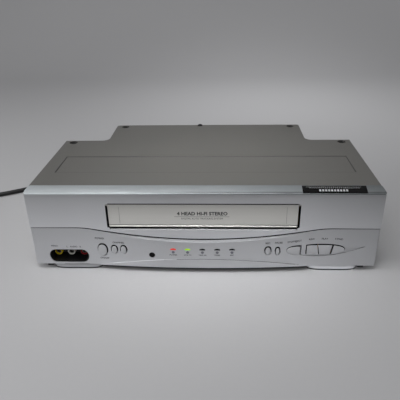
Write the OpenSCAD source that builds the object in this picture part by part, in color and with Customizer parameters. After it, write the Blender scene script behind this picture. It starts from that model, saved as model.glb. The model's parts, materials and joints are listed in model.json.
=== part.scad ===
// Video cassette recorder: a front-loading cassette door over a bulging panel, under a stepped steel cover
// Millimetres. X runs across the front, -Y is the front, Z is up from the floor that the feet stand on.

/* [Overall] */
// Width across the front mouldings
body_w = 360; // [340:1:400]
// Height from the floor to the top of the cover
body_h = 94; // [92:0.5:110]

/* [Steel cover] */
// Distance of the cover's sides in from the ends of the front
cover_inset = 2.8; // [2.4:0.1:6]
// Thickness of the steel sheet
sheet_t = 0.8; // [0.6:0.1:1.5]
// Distance from the front lip back to the step in the cover
step_d = 146.4; // [130:0.2:160]
// Width of the narrow rear part of the cover
tab_w = 246.4; // [220:0.2:280]
// Radius of the two inner corners at the step
notch_r = 9; // [4:0.5:14]
// Radius of the outer corners of the rear part
tab_r = 3.5; // [2:0.5:8]
// Height of the cover's lower edge above the floor
skirt_z = 8; // [7:0.5:20]
// Height of the turned-down rear lip
rear_lip_h = 8; // [4:0.5:14]
// Distance of the pressed rectangle from the cover's sides
press_side = 16.7; // [12:0.1:60]
// Depth of the pressed rectangle, front to back
press_l = 46; // [20:1:60]
// Distance from the front lip back to the pressed rectangle
press_from_lip = 45.2; // [35:0.2:60]
// Depth that the rectangle is pressed in
press_depth = 0.5; // [0.2:0.1:1]

/* [Cover screws] */
// Radius of the screw heads
screw_head_r = 3.2; // [2.5:0.1:3.8]
// Height of the screw heads
screw_head_h = 1.9; // [1.2:0.1:2.4]
// Radius of the screw shanks
screw_r = 1.5; // [1:0.1:2]
// Length of the screw shanks
screw_l = 9; // [6:0.5:14]
// Radius of the dished seats round the screws
dish_r = 5; // [4.5:0.1:6]
// Depth of the dished seats
dish_depth = 2.2; // [2:0.1:3]
// Distance of the two rear screws from the sides of the rear part
tab_screw_side = 12.2; // [10.5:0.1:30]
// Distance of the two screws beside the step from the cover's sides
step_screw_side = 11.2; // [8.5:0.1:30]
// Distance of the screws from the edge behind them
screw_edge = 7; // [6.5:0.1:10]
// Place across the back of the rear face's screw
rear_screw_x = -10; // [-40:1:40]

/* [Front mouldings] */
// Wall of the mouldings
wall = 2.5; // [2:0.1:3]
// Depth of the nose ahead of the cover
nose_d = 11.8; // [8:0.2:16]
// Fall of the nose from the cover to the lip
nose_drop = 4.5; // [3:0.1:7]
// Distance that the lip stands ahead of the face
lip_out = 1; // [0.5:0.1:2]
// Radius of the lip
lip_r = 1.2; // [0.8:0.1:2]
// Radius of the top corners seen from the front
nose_corner_r = 4.5; // [3:0.1:8]
// Radius of the upright front corners
front_corner_r = 2; // [1:0.1:4]
// Distance that the control panel bulges forward
bulge_t = 5.7; // [4:0.1:9]
// Half width of the bulge
bulge_half = 118; // [112:1:130]
// Height of the panel seam at its ends
seam_end = 50.5; // [49.5:0.1:52]
// Height of the panel seam at the middle
seam_mid = 37; // [36:0.1:40]
// Half of the dark gap along the seam
seam_gap = 0.45; // [0.3:0.05:0.8]
// Height of the control panel's lower edge
panel_z0 = 6.8; // [6.4:0.1:9]
// Height of the raised crescent at the middle
crescent_h = 17.2; // [14:0.1:18]
// Half width of the crescent
crescent_half = 110; // [90:1:116]
// Distance that the crescent is raised
crescent_t = 0.8; // [0.5:0.1:1.5]
// Depth of the scooped recess under the transport keys
scoop_depth = 1; // [0.5:0.1:1.4]

/* [Cassette door] */
// Width of the door opening
door_w = 194.4; // [190:0.2:197]
// Lower edge of the door opening
door_z0 = 50.1; // [50:0.1:52]
// Height of the door opening
door_h = 28.6; // [27.5:0.1:29.5]
// Radius of the opening's corners
door_r = 2; // [1:0.1:4]
// Gap round the door
door_gap = 0.9; // [0.5:0.1:1.4]
// Thickness of the door
door_t = 2.2; // [1.6:0.1:2.6]
// Distance that the door lies behind the face
door_in = 0.8; // [0.3:0.1:1.5]
// Radius of the door's hinge pins
hinge_r = 1.2; // [0.9:0.1:1.4]
// Radial clearance of the hinge pins and of every other running fit
run_fit = 0.06; // [0.03:0.01:0.09]
// Length of each hinge pin
hinge_l = 3; // [2:0.1:4]

/* [Buttons] */
// Clearance round each button
button_gap = 0.3; // [0.2:0.05:0.5]
// Distance that the buttons stand proud of the panel
button_out = 0.9; // [0.5:0.1:1.4]
// Travel of the buttons
button_travel = 0.6; // [0.3:0.05:0.7]
// Gap between a button's stem and its switch
stem_gap = 0.8; // [0.75:0.05:0.95]
// Thickness of a button's retaining flange
flange_t = 1; // [0.8:0.1:1.4]
// Width of a button's retaining flange beyond its hole
flange_w = 1; // [0.7:0.1:1.2]
// Radius of a button's stem
stem_r = 1.6; // [1.2:0.1:2]

/* [Front sockets] */
// Width of the socket recess
av_w = 42.4; // [40:0.2:46]
// Height of the socket recess
av_h = 15.2; // [14:0.2:17]
// Corner radius of the socket recess
av_r = 6; // [4:0.2:7]
// Depth of the socket recess
av_depth = 16; // [14:0.5:20]
// Distance of the middle socket from the left end of the front
av_side = 37; // [35:0.5:39]
// Height of the sockets
av_z = 16.5; // [16:0.1:17.5]
// Distance between neighbouring phono sockets
jack_pitch = 14; // [12.5:0.1:14]
// Outer radius of a phono socket
jack_r = 4.15; // [4:0.05:4.3]
// Radius of a phono socket's bore
jack_bore = 1.6; // [1.5:0.05:1.8]
// Length of a phono socket
jack_l = 8; // [7:0.1:9.5]

/* [Rear sockets] */
// Radius of an aerial socket
aerial_r = 4.7; // [4.4:0.05:4.8]
// Length that an aerial socket stands out of the rear panel
aerial_out = 10; // [8:0.5:12]
// Distance between the aerial sockets, one above the other
aerial_pitch = 22; // [18:0.5:26]
// Place of the aerial sockets across the rear
aerial_x = 92; // [90:1:96]
// Place of the rear phono sockets' middle column
rear_jack_x = 50; // [46:1:54]

/* [Chassis] */
// Height of the chassis floor's underside
floor_z = 5.4; // [5:0.1:6]
// Thickness of the chassis floor
floor_t = 2; // [1.6:0.1:3]
// Height of the chassis side walls
tray_h = 16; // [12:0.5:24]
// Thickness of the rear panel
panel_t = 2; // [1.6:0.1:3]
// Gap between the cover and what it covers
fit = 0.3; // [0.25:0.05:0.5]
// Width of the front feet
foot_w = 51.4; // [40:0.2:56]
// Depth of the front feet, front to back
foot_d = 34; // [24:0.5:50]
// Distance of the front feet's middles from the ends of the front
foot_side = 45.5; // [40:0.5:60]
// Radius of the rear feet
rear_foot_r = 12; // [8:0.5:16]
// Thickness of the rubber under the feet
rubber_t = 1.2; // [0.8:0.1:2]
// Underside height of the main board
board_z = 14; // [12:0.5:16]
// Thickness of the circuit boards
board_t = 1.6; // [1:0.1:2]

/* [Tape deck] */
// Underside height of the deck plate
deck_z = 33; // [32.5:0.1:34]
// Thickness of the deck plate
deck_t = 1.2; // [1:0.1:1.6]
// Width of the deck plate
deck_w = 204; // [200:1:214]
// Radius of the head drum
drum_r = 31; // [29:0.1:32]
// Height of the fixed lower drum
drum_low_h = 17; // [15:0.5:18]
// Height of the spinning upper drum
drum_top_h = 15; // [12:0.5:16]
// Lean of the drum
drum_lean = 5.5; // [4:0.1:6]
// Distance of the drum's centre behind the lip
drum_from_lip = 168; // [166:0.5:172]
// Space between the drum's foot and the rear panel
rear_space = 5.4; // [3:0.1:30]
// Distance between the reel spindles
reel_pitch = 92; // [91:0.1:94]
// Radius of the reel tables
reel_r = 22; // [20:0.1:22.5]
// Radius of the capstan
capstan_r = 2; // [1.5:0.1:2.2]
// Radius of the capstan's flywheel
flywheel_r = 25; // [20:0.5:27]
// Radius of the pinch roller
pinch_r = 7; // [6:0.1:7.2]
// Length of the pinch roller's arm between its centres
pinch_arm_l = 22; // [21.5:0.1:23]
// Radius of the idler wheel
idler_r = 20; // [18:0.1:20.4]

/* [Cassette carriage] */
// Depth of the cassette holder
holder_l = 50; // [44:1:52]
// Distance that the holder carries the cassette in
load_in = 52; // [40:1:52]
// Distance that the holder lowers the cassette
load_down = 14; // [10:0.5:14.5]
// Sheet thickness of the carriage
carriage_t = 1; // [0.8:0.1:1.4]

/* [Mains lead] */
// Diameter of the lead
cord_d = 6; // [5:0.1:6.2]
// Length of the strain relief outside the rear panel
relief_l = 34; // [24:1:40]
// Turns of the coil's lower layer
coil_turns = 3; // [2:1:3]
// Gap between neighbouring turns
coil_gap = 0.5; // [0.45:0.05:1]

/* [Hidden] */
$fn = 48;

// The tape deck sets the depth, from the panel's belly to the ends of the aerial sockets
chassis_in = sheet_t + fit;
drum_foot_r = drum_r + 1;
body_d = crescent_t + bulge_t - lip_out + drum_from_lip + drum_foot_r + rear_space + panel_t + chassis_in
    + aerial_out;

// Places along Y, from the front to the rear
front_y = -body_d / 2;
face_y = front_y + crescent_t + bulge_t;
lip_y = face_y - lip_out;
cover_y0 = lip_y + nose_d;
step_y = lip_y + step_d;
rear_y = body_d / 2 - aerial_out;
press_y0 = lip_y + press_from_lip;
board_y = face_y + 13;
plunger_y = board_y - 4.6;
cover_w = body_w - 2 * cover_inset;
press_w = cover_w - 2 * press_side;
panel_in = cover_w / 2 - chassis_in;
panel_floor = 1.6;
seam_rise = seam_end - 1 - seam_mid;
floor_top = floor_z + floor_t;
cover_under = body_h - sheet_t - fit;

// Front plan and seam curves
function bulge(x) = bulge_t * max(0, 1 - pow(x / bulge_half, 2));
function panel_y(x) = face_y - bulge(x);
function seam_z(x) = let(k = 0.8, p = seam_mid + seam_rise * pow(x / bulge_half, 2))
    seam_end - k * ln(1 + exp((seam_end - p) / k));
seam_xs = [for (i = [-30 : 30]) i / 30 * (bulge_half + 14)];
bulge_xs = [for (i = [-20 : 20]) i / 20 * bulge_half];
function oval(cx, cz, a, b, n = 2, steps = 40) = [for (i = [0 : steps - 1])
    let(t = i * 360 / steps, c = cos(t), s = sin(t))
    [cx + a * sign(c) * pow(abs(c), 2 / n), cz + b * sign(s) * pow(abs(s), 2 / n)]];

// The sockets and keys keep their distance from the ends of the front
end_x = body_w / 2;
av_x = av_side - end_x;
// Places and half sizes of the oval buttons: across, up, half width, half height
power_at = [74.3 - end_x, 25.1, 5.4, 7.4];
channel_up_at = [86.9 - end_x, 26, 3.7, 5.2];
channel_down_at = [96.7 - end_x, 26.3, 3.7, 5.2];
record_at = [end_x - 112.8, 26.5, 3.6, 5];
pause_at = [end_x - 102.8, 25.8, 2.8, 4.8];
// The stop key is the left half of an oval, and the three other keys share one oval
stop_at = [end_x - 78.6, 26, 14.8, 5.6];
group_at = [end_x - 59, 26, 25.6, 6.4];
group_left = group_at[0] - 14.3;
group_splits = [group_at[0] - 1.6, group_at[0] + 12.1];
// Places of the buttons' stems across the front, and their height
stem_xs = [power_at[0], channel_up_at[0], channel_down_at[0], record_at[0], pause_at[0], stop_at[0] - 6,
    group_left + 6.3, group_splits[0] + 6.9, group_splits[1] + 6.4];
key_z = 26;
split_gap = 0.7;
led_xs = [-31, -16, -0.6, 14.8, 30.1];
led_z = 27.4;
led_w = 6.2;
led_h = 2.9;
ir_at = [-53.4, 20.7];
ir_r = 3.1;

// Deck places
drum_y = lip_y + drum_from_lip;
deck_y0 = lip_y + 22;
deck_y1 = rear_y - 12;
deck_rear_x = 70;
deck_top = deck_z + deck_t;
reel_y = lip_y + 72.5;
capstan_at = [56, lip_y + 140.5];
pinch_pivot = [capstan_at[0] + 22, capstan_at[1] + 2];
pinch_rest = 135.9;
idler_at = [0, reel_y - 2];
hub_r = 6;
pulley_at = [0, idler_at[1] - idler_r - hub_r - 0.3];
holder_y0 = lip_y + 31.5;
holder_w = 190;
holder_z0 = door_z0 - 0.6;
holder_h = 28.6;
guide_from = [28, lip_y + 118.5];
guide_travel = [14, 50];
wheel_z = deck_top + 2;
wheel_h = 4;
// Posts on the deck, the boss that carries the drive pulley, and the axles of the smaller wheels
post_r = 2;
boss_r = 4;
axle_r = 1.5;

module along_y(y0, y1) {
    translate([0, y1, 0]) rotate([90, 0, 0]) linear_extrude(y1 - y0) children();
}

module along_x(x0, x1) {
    translate([x0, 0, 0]) rotate([90, 0, 90]) linear_extrude(x1 - x0) children();
}

module rod(at, r, z0, z1) {
    translate([at[0], at[1], z0]) cylinder(r = r, h = z1 - z0);
}

module box(lo, hi) {
    translate(lo) cube([hi[0] - lo[0], hi[1] - lo[1], hi[2] - lo[2]]);
}

module rounded(x0, y0, x1, y1, r) {
    translate([x0 + r, y0]) square([x1 - x0 - 2 * r, y1 - y0]);
    translate([x0, y0 + r]) square([x1 - x0, y1 - y0 - 2 * r]);
    for (x = [x0 + r, x1 - r], y = [y0 + r, y1 - r]) translate([x, y]) circle(r = r);
}

// Outline of the cover seen from above, drawn in by i
module stepped_outline(i = 0, y0 = cover_y0) {
    half = tab_w / 2 - i;
    edge = step_y - i;
    translate([-cover_w / 2 + i, y0]) square([cover_w - 2 * i, edge - y0]);
    difference() {
        translate([-half, y0]) square([2 * half, rear_y - i - y0]);
        for (s = [-1, 1]) translate([s * half, rear_y - i]) rotate(s > 0 ? 180 : 270)
            corner(max(tab_r - i, 0.6));
    }
    for (s = [-1, 1]) translate([s * half, edge]) rotate(s > 0 ? 0 : 90) corner(notch_r + i);
}

// The spandrel between two edges and a rounding of radius r
module corner(r) {
    difference() {
        translate([-0.02, -0.02]) square(r + 0.02);
        translate([r, r]) circle(r = r);
    }
}

module screw_places() {
    for (s = [-1, 1]) {
        translate([s * (tab_w / 2 - tab_screw_side), rear_y - screw_edge, body_h]) children();
        translate([s * (cover_w / 2 - step_screw_side), step_y - screw_edge, body_h]) children();
    }
}

rear_screw_z = body_h - screw_head_r - 0.3;

module top_cover() {
    color([0.43, 0.43, 0.42]) difference() {
        union() {
            translate([0, 0, body_h - sheet_t]) linear_extrude(sheet_t) stepped_outline();
            for (s = [-1, 1]) box([s * cover_w / 2 - (s > 0 ? sheet_t : 0), cover_y0, skirt_z],
                [s * cover_w / 2 + (s > 0 ? 0 : sheet_t), step_y, body_h]);
            translate([0, 0, body_h - rear_lip_h]) linear_extrude(rear_lip_h) difference() {
                stepped_outline();
                stepped_outline(sheet_t);
            }
            translate([-press_w / 2 - sheet_t, press_y0 - sheet_t, body_h - sheet_t - press_depth])
                cube([press_w + 2 * sheet_t, press_l + 2 * sheet_t, sheet_t]);
            screw_places() translate([0, 0, -dish_depth - sheet_t])
                cylinder(r = dish_r + sheet_t, h = dish_depth + sheet_t);
        }
        translate([-press_w / 2, press_y0, body_h - press_depth]) cube([press_w, press_l, 2]);
        screw_places() {
            translate([0, 0, -dish_depth]) cylinder(r = dish_r, h = dish_depth + 1);
            translate([0, 0, -8]) cylinder(r = screw_r + 0.1, h = 9);
        }
        translate([rear_screw_x, rear_y + 1, rear_screw_z]) rotate([90, 0, 0])
            cylinder(r = screw_r + 0.1, h = 4);
        // Notch in the fold over the rear face's screw
        translate([rear_screw_x, rear_y + screw_head_r - 1.3, body_h - sheet_t - 0.2])
            cylinder(r = screw_head_r + 0.4, h = 2);
    }
}

// Side profile of the nose and face, drawn in by i
module nose_profile(i = 0) {
    curve = [for (k = [0 : 8]) let(s = k / 8)
        [cover_y0 - (nose_d - lip_r) * s + i, body_h - (nose_drop - lip_r) * (0.4 * s + 0.6 * s * s) - i]];
    lip = [for (a = [100 : 20 : 220])
        [lip_y + lip_r * (1 + cos(a)) + i, body_h - nose_drop + lip_r * (sin(a) - 0.2) - i]];
    back = cover_y0 + 6 * i;
    polygon(concat([[back, body_h - i]], curve, lip,
        [[face_y + i, body_h - nose_drop - 5 - i], [face_y + i, seam_mid - 2], [back, seam_mid - 2]]));
}

// The part of the front view above the seam, with rounded top corners, drawn in by i
module above_seam(i = 0) {
    half = body_w / 2 - i;
    top = body_h - i;
    arc = [for (a = [0 : 15 : 90]) [half - nose_corner_r * (1 - cos(a)), top - nose_corner_r * (1 - sin(a))]];
    seam = [for (x = seam_xs) [x, seam_z(x) + seam_gap]];
    polygon(concat([[-half, seam_end + seam_gap]], seam, [[half, seam_end + seam_gap]], arc,
        [for (k = [len(arc) - 1 : -1 : 0]) [-arc[k][0], arc[k][1]]]));
}

// The part of the front view below the seam, lowered by d
module below_seam(d = 0) {
    seam = [for (x = seam_xs) [x, seam_z(x) - seam_gap - d]];
    polygon(concat([[-body_w / 2, panel_z0], [-body_w / 2, seam_end - seam_gap - d]], seam,
        [[body_w / 2, seam_end - seam_gap - d], [body_w / 2, panel_z0]]));
}

// Plan of the front mouldings with rounded front corners, drawn in by i
module front_plan(i = 0, depth = nose_d - lip_out) {
    half = body_w / 2 - i;
    r = max(front_corner_r - i, 0.5);
    translate([-half, face_y + i + r]) square([2 * half, depth - r + 8 * i]);
    translate([-half + r, face_y + i]) square([2 * (half - r), r + 1]);
    for (s = [-1, 1]) translate([s * (half - r), face_y + i + r]) circle(r = r);
}

module bulge_plan(i = 0) {
    polygon(concat([[-bulge_half, face_y + 1 + i]], [for (x = bulge_xs) [x, panel_y(x) + i]],
        [[bulge_half, face_y + 1 + i]]));
}

module panel_plan() {
    front_plan();
    bulge_plan();
}

hinge_y = face_y + door_in + door_t - 0.9;
hinge_z = door_z0 + door_h - door_gap - 1;

module front_bezel() {
    color([0.60, 0.61, 0.63]) difference() {
        union() {
            difference() {
                intersection() {
                    along_x(-body_w / 2, body_w / 2) nose_profile();
                    along_y(lip_y - 1, cover_y0) above_seam();
                    translate([0, 0, seam_mid - 3]) linear_extrude(body_h) union() {
                        translate([0, -lip_out]) front_plan();
                        front_plan();
                    }
                }
                intersection() {
                    along_x(-body_w / 2, body_w / 2) nose_profile(wall);
                    along_y(lip_y, cover_y0 + 20) above_seam(wall);
                }
                along_y(face_y + wall, cover_y0 + 20) below_wall();
            }
            // Tunnel round the door, with the hinge ears at its top corners
            along_y(face_y + wall - 0.5, face_y + 7) difference() {
                rounded(-door_w / 2 - 1.6, door_z0 - 1.6, door_w / 2 + 1.6, door_z0 + door_h + 1.6, door_r);
                rounded(-door_w / 2, door_z0, door_w / 2, door_z0 + door_h, door_r);
            }
            for (s = [-1, 1]) box([s * (door_w + hinge_l) / 2 - hinge_l / 2, face_y + wall - 1, hinge_z - 3],
                [s * (door_w + hinge_l) / 2 + hinge_l / 2, face_y + wall + 3, hinge_z + 3]);
            // Tongue that slips under the cover
            along_y(cover_y0 - 3, cover_y0 + 5) difference() {
                intersection() {
                    translate([-panel_in, seam_end + seam_gap])
                        square([2 * panel_in, cover_under - seam_end - seam_gap]);
                    above_seam(wall - 0.5);
                }
                translate([-panel_in + 1.5, 0]) square([2 * panel_in - 3, cover_under - 1.5]);
            }
        }
        along_y(lip_y - 2, face_y + 8)
            rounded(-door_w / 2, door_z0, door_w / 2, door_z0 + door_h, door_r);
        translate([-door_w / 2 - hinge_l - 1, hinge_y, hinge_z]) rotate([0, 90, 0])
            cylinder(r = hinge_r + run_fit, h = door_w + 2 * hinge_l + 2);
        // Bevelled sill under the door
        along_x(-door_w / 2 + 1, door_w / 2 - 1) polygon([[face_y - 1, door_z0 - 2.6],
            [face_y + 1.6, door_z0], [face_y + 1.6, door_z0 + 1], [face_y - 1, door_z0 + 1]]);
    }
}

// Clears the space behind the face from the seam up to the nose's own hollow
module below_wall() {
    translate([-body_w / 2 + wall, seam_mid - 3])
        square([body_w - 2 * wall, body_h - nose_drop - 8 - seam_mid]);
}

module oval_button(at, grow = 0) {
    polygon(oval(at[0], at[1], at[2] + grow, at[3] + grow, 2.2));
}

module stop_shape(grow = 0) {
    intersection() {
        polygon(oval(stop_at[0], stop_at[1], stop_at[2] + grow, stop_at[3] + grow, 2.4));
        square([stop_at[0] + grow, seam_mid]);
    }
}

module group_shape(grow = 0) {
    intersection() {
        polygon(oval(group_at[0], group_at[1], group_at[2] + grow, group_at[3] + grow, 2.5));
        translate([group_left - grow, 0]) square([60, 60]);
    }
}

// The transport keys between two slanted splits of the shared oval
module group_key(k) {
    lo = k == 0 ? group_left - 5 : group_splits[k - 1] + split_gap / 2;
    hi = k == 2 ? group_left + 60 : group_splits[k] - split_gap / 2;
    lean_lo = k == 2 ? 0.6 : -0.3 * k;
    lean_hi = k == 1 ? 0.6 : -0.3;
    intersection() {
        group_shape();
        polygon([[lo - lean_lo, 10], [hi - lean_hi, 10], [hi + lean_hi, 42], [lo + lean_lo, 42]]);
    }
}

module av_shape(grow = 0) {
    rounded(av_x - av_w / 2 - grow, av_z - av_h / 2 - grow, av_x + av_w / 2 + grow, av_z + av_h / 2 + grow,
        av_r + grow);
}

module half_moon(x, grow = 0) {
    intersection() {
        polygon(oval(x, led_z, led_w / 2 + grow, led_h + grow, 2.2));
        translate([x - led_w, led_z - grow]) square([2 * led_w, 2 * led_h]);
    }
}

// Shallow scoop that follows the keys' lower edge and runs out to the right
module scoop_shape() {
    steps = 12;
    function x(t) = stop_at[0] - stop_at[2] + 81 * t;
    function low(t) = 25 - 33 * t * (1 - t) * (1.2 - 0.45 * t) + 4.4 * t * t;
    polygon([for (i = [0 : steps]) [x(i / steps), low(i / steps)],
        for (i = [steps : -1 : 0]) [x(i / steps), 26 + 3.4 * pow(i / steps, 2)]]);
}

module crescent_shape() {
    polygon([for (i = [-16 : 16]) let(t = i / 16)
        [t * crescent_half, panel_z0 + (crescent_h - panel_z0) * (1 - t * t) * (1 - 0.12 * t * t)]]);
}

module control_panel() {
    color([0.60, 0.60, 0.62]) difference() {
        union() {
            intersection() {
                translate([0, 0, panel_z0]) linear_extrude(body_h) difference() {
                    panel_plan();
                    front_plan(wall);
                    intersection() {
                        bulge_plan(wall);
                        translate([-body_w / 2, front_y]) square([body_w, face_y + wall + 0.5 - front_y]);
                    }
                }
                along_y(front_y - 1, cover_y0) below_seam();
            }
            // Shelf along the seam and floor of the moulding
            intersection() {
                translate([0, 0, panel_z0]) linear_extrude(body_h) shelf_plan();
                along_y(front_y - 1, cover_y0) difference() {
                    below_seam();
                    below_seam(wall);
                }
            }
            translate([0, 0, panel_z0]) linear_extrude(panel_floor) shelf_plan();
            // Tongue behind the upper moulding
            along_y(face_y + wall + fit, face_y + wall + fit + 1.5) intersection() {
                difference() {
                    below_seam(-2.2 - seam_gap);
                    below_seam(wall);
                }
                translate([-body_w / 2 + 2 * wall, 0]) square([body_w - 4 * wall, body_h]);
            }
            // Raised crescent along the foot of the bulge
            intersection() {
                translate([0, 0, panel_z0]) linear_extrude(body_h) translate([0, -crescent_t]) bulge_plan();
                along_y(front_y - 1, face_y + 0.9) crescent_shape();
            }
            // Tongues that slip under the cover's sides
            for (s = [-1, 1]) box([s > 0 ? panel_in - 1.5 : -panel_in, cover_y0 - 3, skirt_z + 4],
                [s > 0 ? panel_in : -panel_in + 1.5, cover_y0 + 5, seam_end - 3]);
            for (s = [-1, 1]) box([s > 0 ? panel_in - 1.5 : -body_w / 2 + 1, cover_y0 - 4, skirt_z + 4],
                [s > 0 ? body_w / 2 - 1 : -panel_in + 1.5, cover_y0 - 2, seam_end - 3]);
        }
        along_y(front_y - 2, cover_y0) {
            av_shape();
            for (at = [power_at, channel_up_at, channel_down_at, record_at, pause_at])
                oval_button(at, button_gap);
            stop_shape(button_gap);
            group_shape(button_gap);
            for (x = led_xs) half_moon(x, 0.1);
            translate(ir_at) circle(r = ir_r + 0.1);
        }
        intersection() {
            translate([0, scoop_depth, 0]) linear_extrude(body_h) difference() {
                translate([0, front_y - 1]) square([body_w / 2 - 4, face_y + wall - front_y]);
                panel_plan();
            }
            along_y(front_y - 2, face_y + wall - 0.8) scoop_shape();
        }
    }
}

module shelf_plan() {
    intersection() {
        panel_plan();
        translate([-body_w / 2, front_y - 1]) square([body_w, face_y + wall + 4 - front_y]);
    }
}

module cassette_door() {
    y0 = face_y + door_in;
    hx = door_w / 2 - door_gap;
    z0 = door_z0 + door_gap;
    z1 = door_z0 + door_h - door_gap;
    color([0.63, 0.63, 0.61]) difference() {
        union() {
            along_y(y0, y0 + door_t) rounded(-hx, z0, hx, z1, 1.2);
            // Rounded bead along the lower edge
            translate([-hx + 0.5, y0 + 0.3, z0 + 0.9]) rotate([0, 90, 0])
                cylinder(r = 0.85, h = 2 * hx - 1, $fn = 24);
            // Stiffening ribs on the back
            for (x = [-60 : 40 : 60])
                box([x - 0.6, y0 + door_t - 0.2, z0 + 3], [x + 0.6, y0 + door_t + 0.6, z1 - 5]);
            for (s = [-1, 1]) translate([s > 0 ? hx - 0.5 : -hx - door_gap - hinge_l + 0.3, hinge_y, hinge_z])
                rotate([0, 90, 0]) cylinder(r = hinge_r, h = hinge_l + door_gap + 0.2);
        }
        translate([-hx - 1, y0 - 1, z0 + 1.9]) cube([2 * hx + 2, 1.5, 0.7]);
        for (s = [-1, 1]) translate([s * 85 - 0.15, y0 - 1, z0 + 4]) cube([0.3, 1.25, z1 - z0 - 7]);
    }
}

// A button's cap and its wider flange behind the panel, from two flat shapes, and a stem at stem_x
module button_body(x, half, stem_x) {
    inner = max(panel_y(abs(x) + half), panel_y(max(abs(x) - half, 0))) + wall + 0.3;
    color([0.66, 0.66, 0.67]) {
        along_y(panel_y(x) - button_out, inner + 0.1) children(0);
        along_y(inner, inner + flange_t) children(1);
        translate([stem_x, inner + flange_t - 0.1, key_z]) rotate([-90, 0, 0])
            cylinder(r = stem_r, h = plunger_y - stem_gap - inner - flange_t + 0.1);
    }
}

module simple_button(at, flange = flange_w) {
    button_body(at[0], at[2], at[0]) {
        oval_button(at);
        oval_button(at, button_gap + flange);
    }
}

module power_button() { simple_button(power_at); }
module channel_up_button() { simple_button(channel_up_at, flange_w - 0.4); }
module channel_down_button() { simple_button(channel_down_at, flange_w - 0.4); }
module record_button() { simple_button(record_at); }
module pause_button() { simple_button(pause_at); }

module stop_eject_button() {
    button_body(stop_at[0] - 8, 8, stem_xs[5]) {
        stop_shape();
        stop_shape(button_gap + flange_w);
    }
}

module transport_key(k) {
    lo = k == 0 ? group_left - button_gap - flange_w : group_splits[k - 1] + 0.4;
    hi = k == 2 ? group_at[0] + group_at[2] + button_gap + flange_w : group_splits[k] - 0.4;
    button_body(stem_xs[6 + k], 6, stem_xs[6 + k]) {
        group_key(k);
        intersection() {
            group_shape(button_gap + flange_w);
            translate([lo, 0]) square([hi - lo, seam_end]);
        }
    }
}

module rewind_button() { transport_key(0); }
module play_button() { transport_key(1); }
module fast_forward_button() { transport_key(2); }

module lens(x) {
    along_y(panel_y(x) - 0.15, panel_y(x) + 5) half_moon(x);
    along_y(panel_y(x) + wall + 0.6, board_y) translate([x - led_w / 2, led_z - 0.5])
        square([led_w, led_h + 1]);
}

module lens_red() { color([0.85, 0.12, 0.10]) lens(led_xs[0]); }
module lens_green() { color([0.55, 0.80, 0.10]) lens(led_xs[1]); }

// Three unlit lenses and the round window of the remote control's receiver
module dark_windows() {
    y0 = panel_y(ir_at[0]);
    color([0.08, 0.07, 0.09]) {
        for (k = [2 : 4]) lens(led_xs[k]);
        along_y(y0 + 0.2, y0 + wall + 3) translate(ir_at) circle(r = ir_r);
        along_y(y0 + wall + 1, board_y) translate(ir_at) circle(r = ir_r + 1);
    }
}

jack_xs = [av_x - jack_pitch, av_x, av_x + jack_pitch];
av_back = face_y + av_depth;

module front_socket_block() {
    color([0.07, 0.07, 0.08]) difference() {
        union() {
            along_y(face_y + 1, av_back + 2) av_shape(-0.1);
            along_y(face_y + wall + fit, face_y + wall + 2) intersection() {
                av_shape(1.8);
                translate([av_x - av_w, panel_z0 + panel_floor + fit]) square(2 * av_w);
            }
            along_y(av_back - 1, av_back + 8) rounded(av_x - 20, av_z - 6.5, av_x + 20, av_z + 6.5, 1);
        }
        along_y(face_y - 1, av_back) av_shape(-1.3);
        for (x = jack_xs) translate([x, av_back - 1, av_z]) rotate([-90, 0, 0]) cylinder(r = 2.4, h = 10);
    }
}

module phono_socket() {
    rotate([90, 0, 0]) difference() {
        union() {
            cylinder(r = jack_r, h = jack_l);
            translate([0, 0, -6]) cylinder(r = 2.4, h = 6.1);
        }
        translate([0, 0, -1]) cylinder(r = jack_bore, h = jack_l + 2);
    }
}

module front_socket(k) { translate([jack_xs[k], av_back, av_z]) phono_socket(); }
module video_in_front() { color([0.80, 0.70, 0.08]) front_socket(0); }
module audio_left_in_front() { color([0.85, 0.85, 0.82]) front_socket(1); }
module audio_right_in_front() { color([0.65, 0.06, 0.08]) front_socket(2); }

// Two stays of the chassis hold the board behind the buttons
stay_xs = [-70, 50];

module front_board() {
    color([0.55, 0.42, 0.22]) difference() {
        box([stem_xs[0] - 12.3, board_y, 10], [stem_xs[8] + 12.5, board_y + board_t, 36]);
        for (x = stay_xs) translate([x, board_y - 1, 16]) rotate([-90, 0, 0]) cylinder(r = 1.7, h = 5);
    }
}

module tact_switches() {
    color([0.12, 0.12, 0.13]) for (x = stem_xs) {
        box([x - 3, board_y - 3.6, key_z - 3], [x + 3, board_y, key_z + 3]);
        translate([x, plunger_y, key_z]) rotate([-90, 0, 0]) cylinder(r = 1.75, h = 1.1);
    }
}

// Dark plate stuck on the nose
module service_plate() {
    ends = [end_x - 81.2, end_x - 18.2];
    run = nose_d - lip_r;
    function on_nose(s) = [cover_y0 - run * s, body_h - (nose_drop - lip_r) * (0.4 * s + 0.6 * s * s)];
    out = [for (k = [0 : 6]) on_nose(0.08 + 0.84 * k / 6)];
    color([0.04, 0.04, 0.05]) along_x(ends[0], ends[1])
        polygon(concat([for (p = out) p + [0, 0.12]], [for (k = [6 : -1 : 0]) out[k] + [0, 0.01]]));
}

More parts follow.
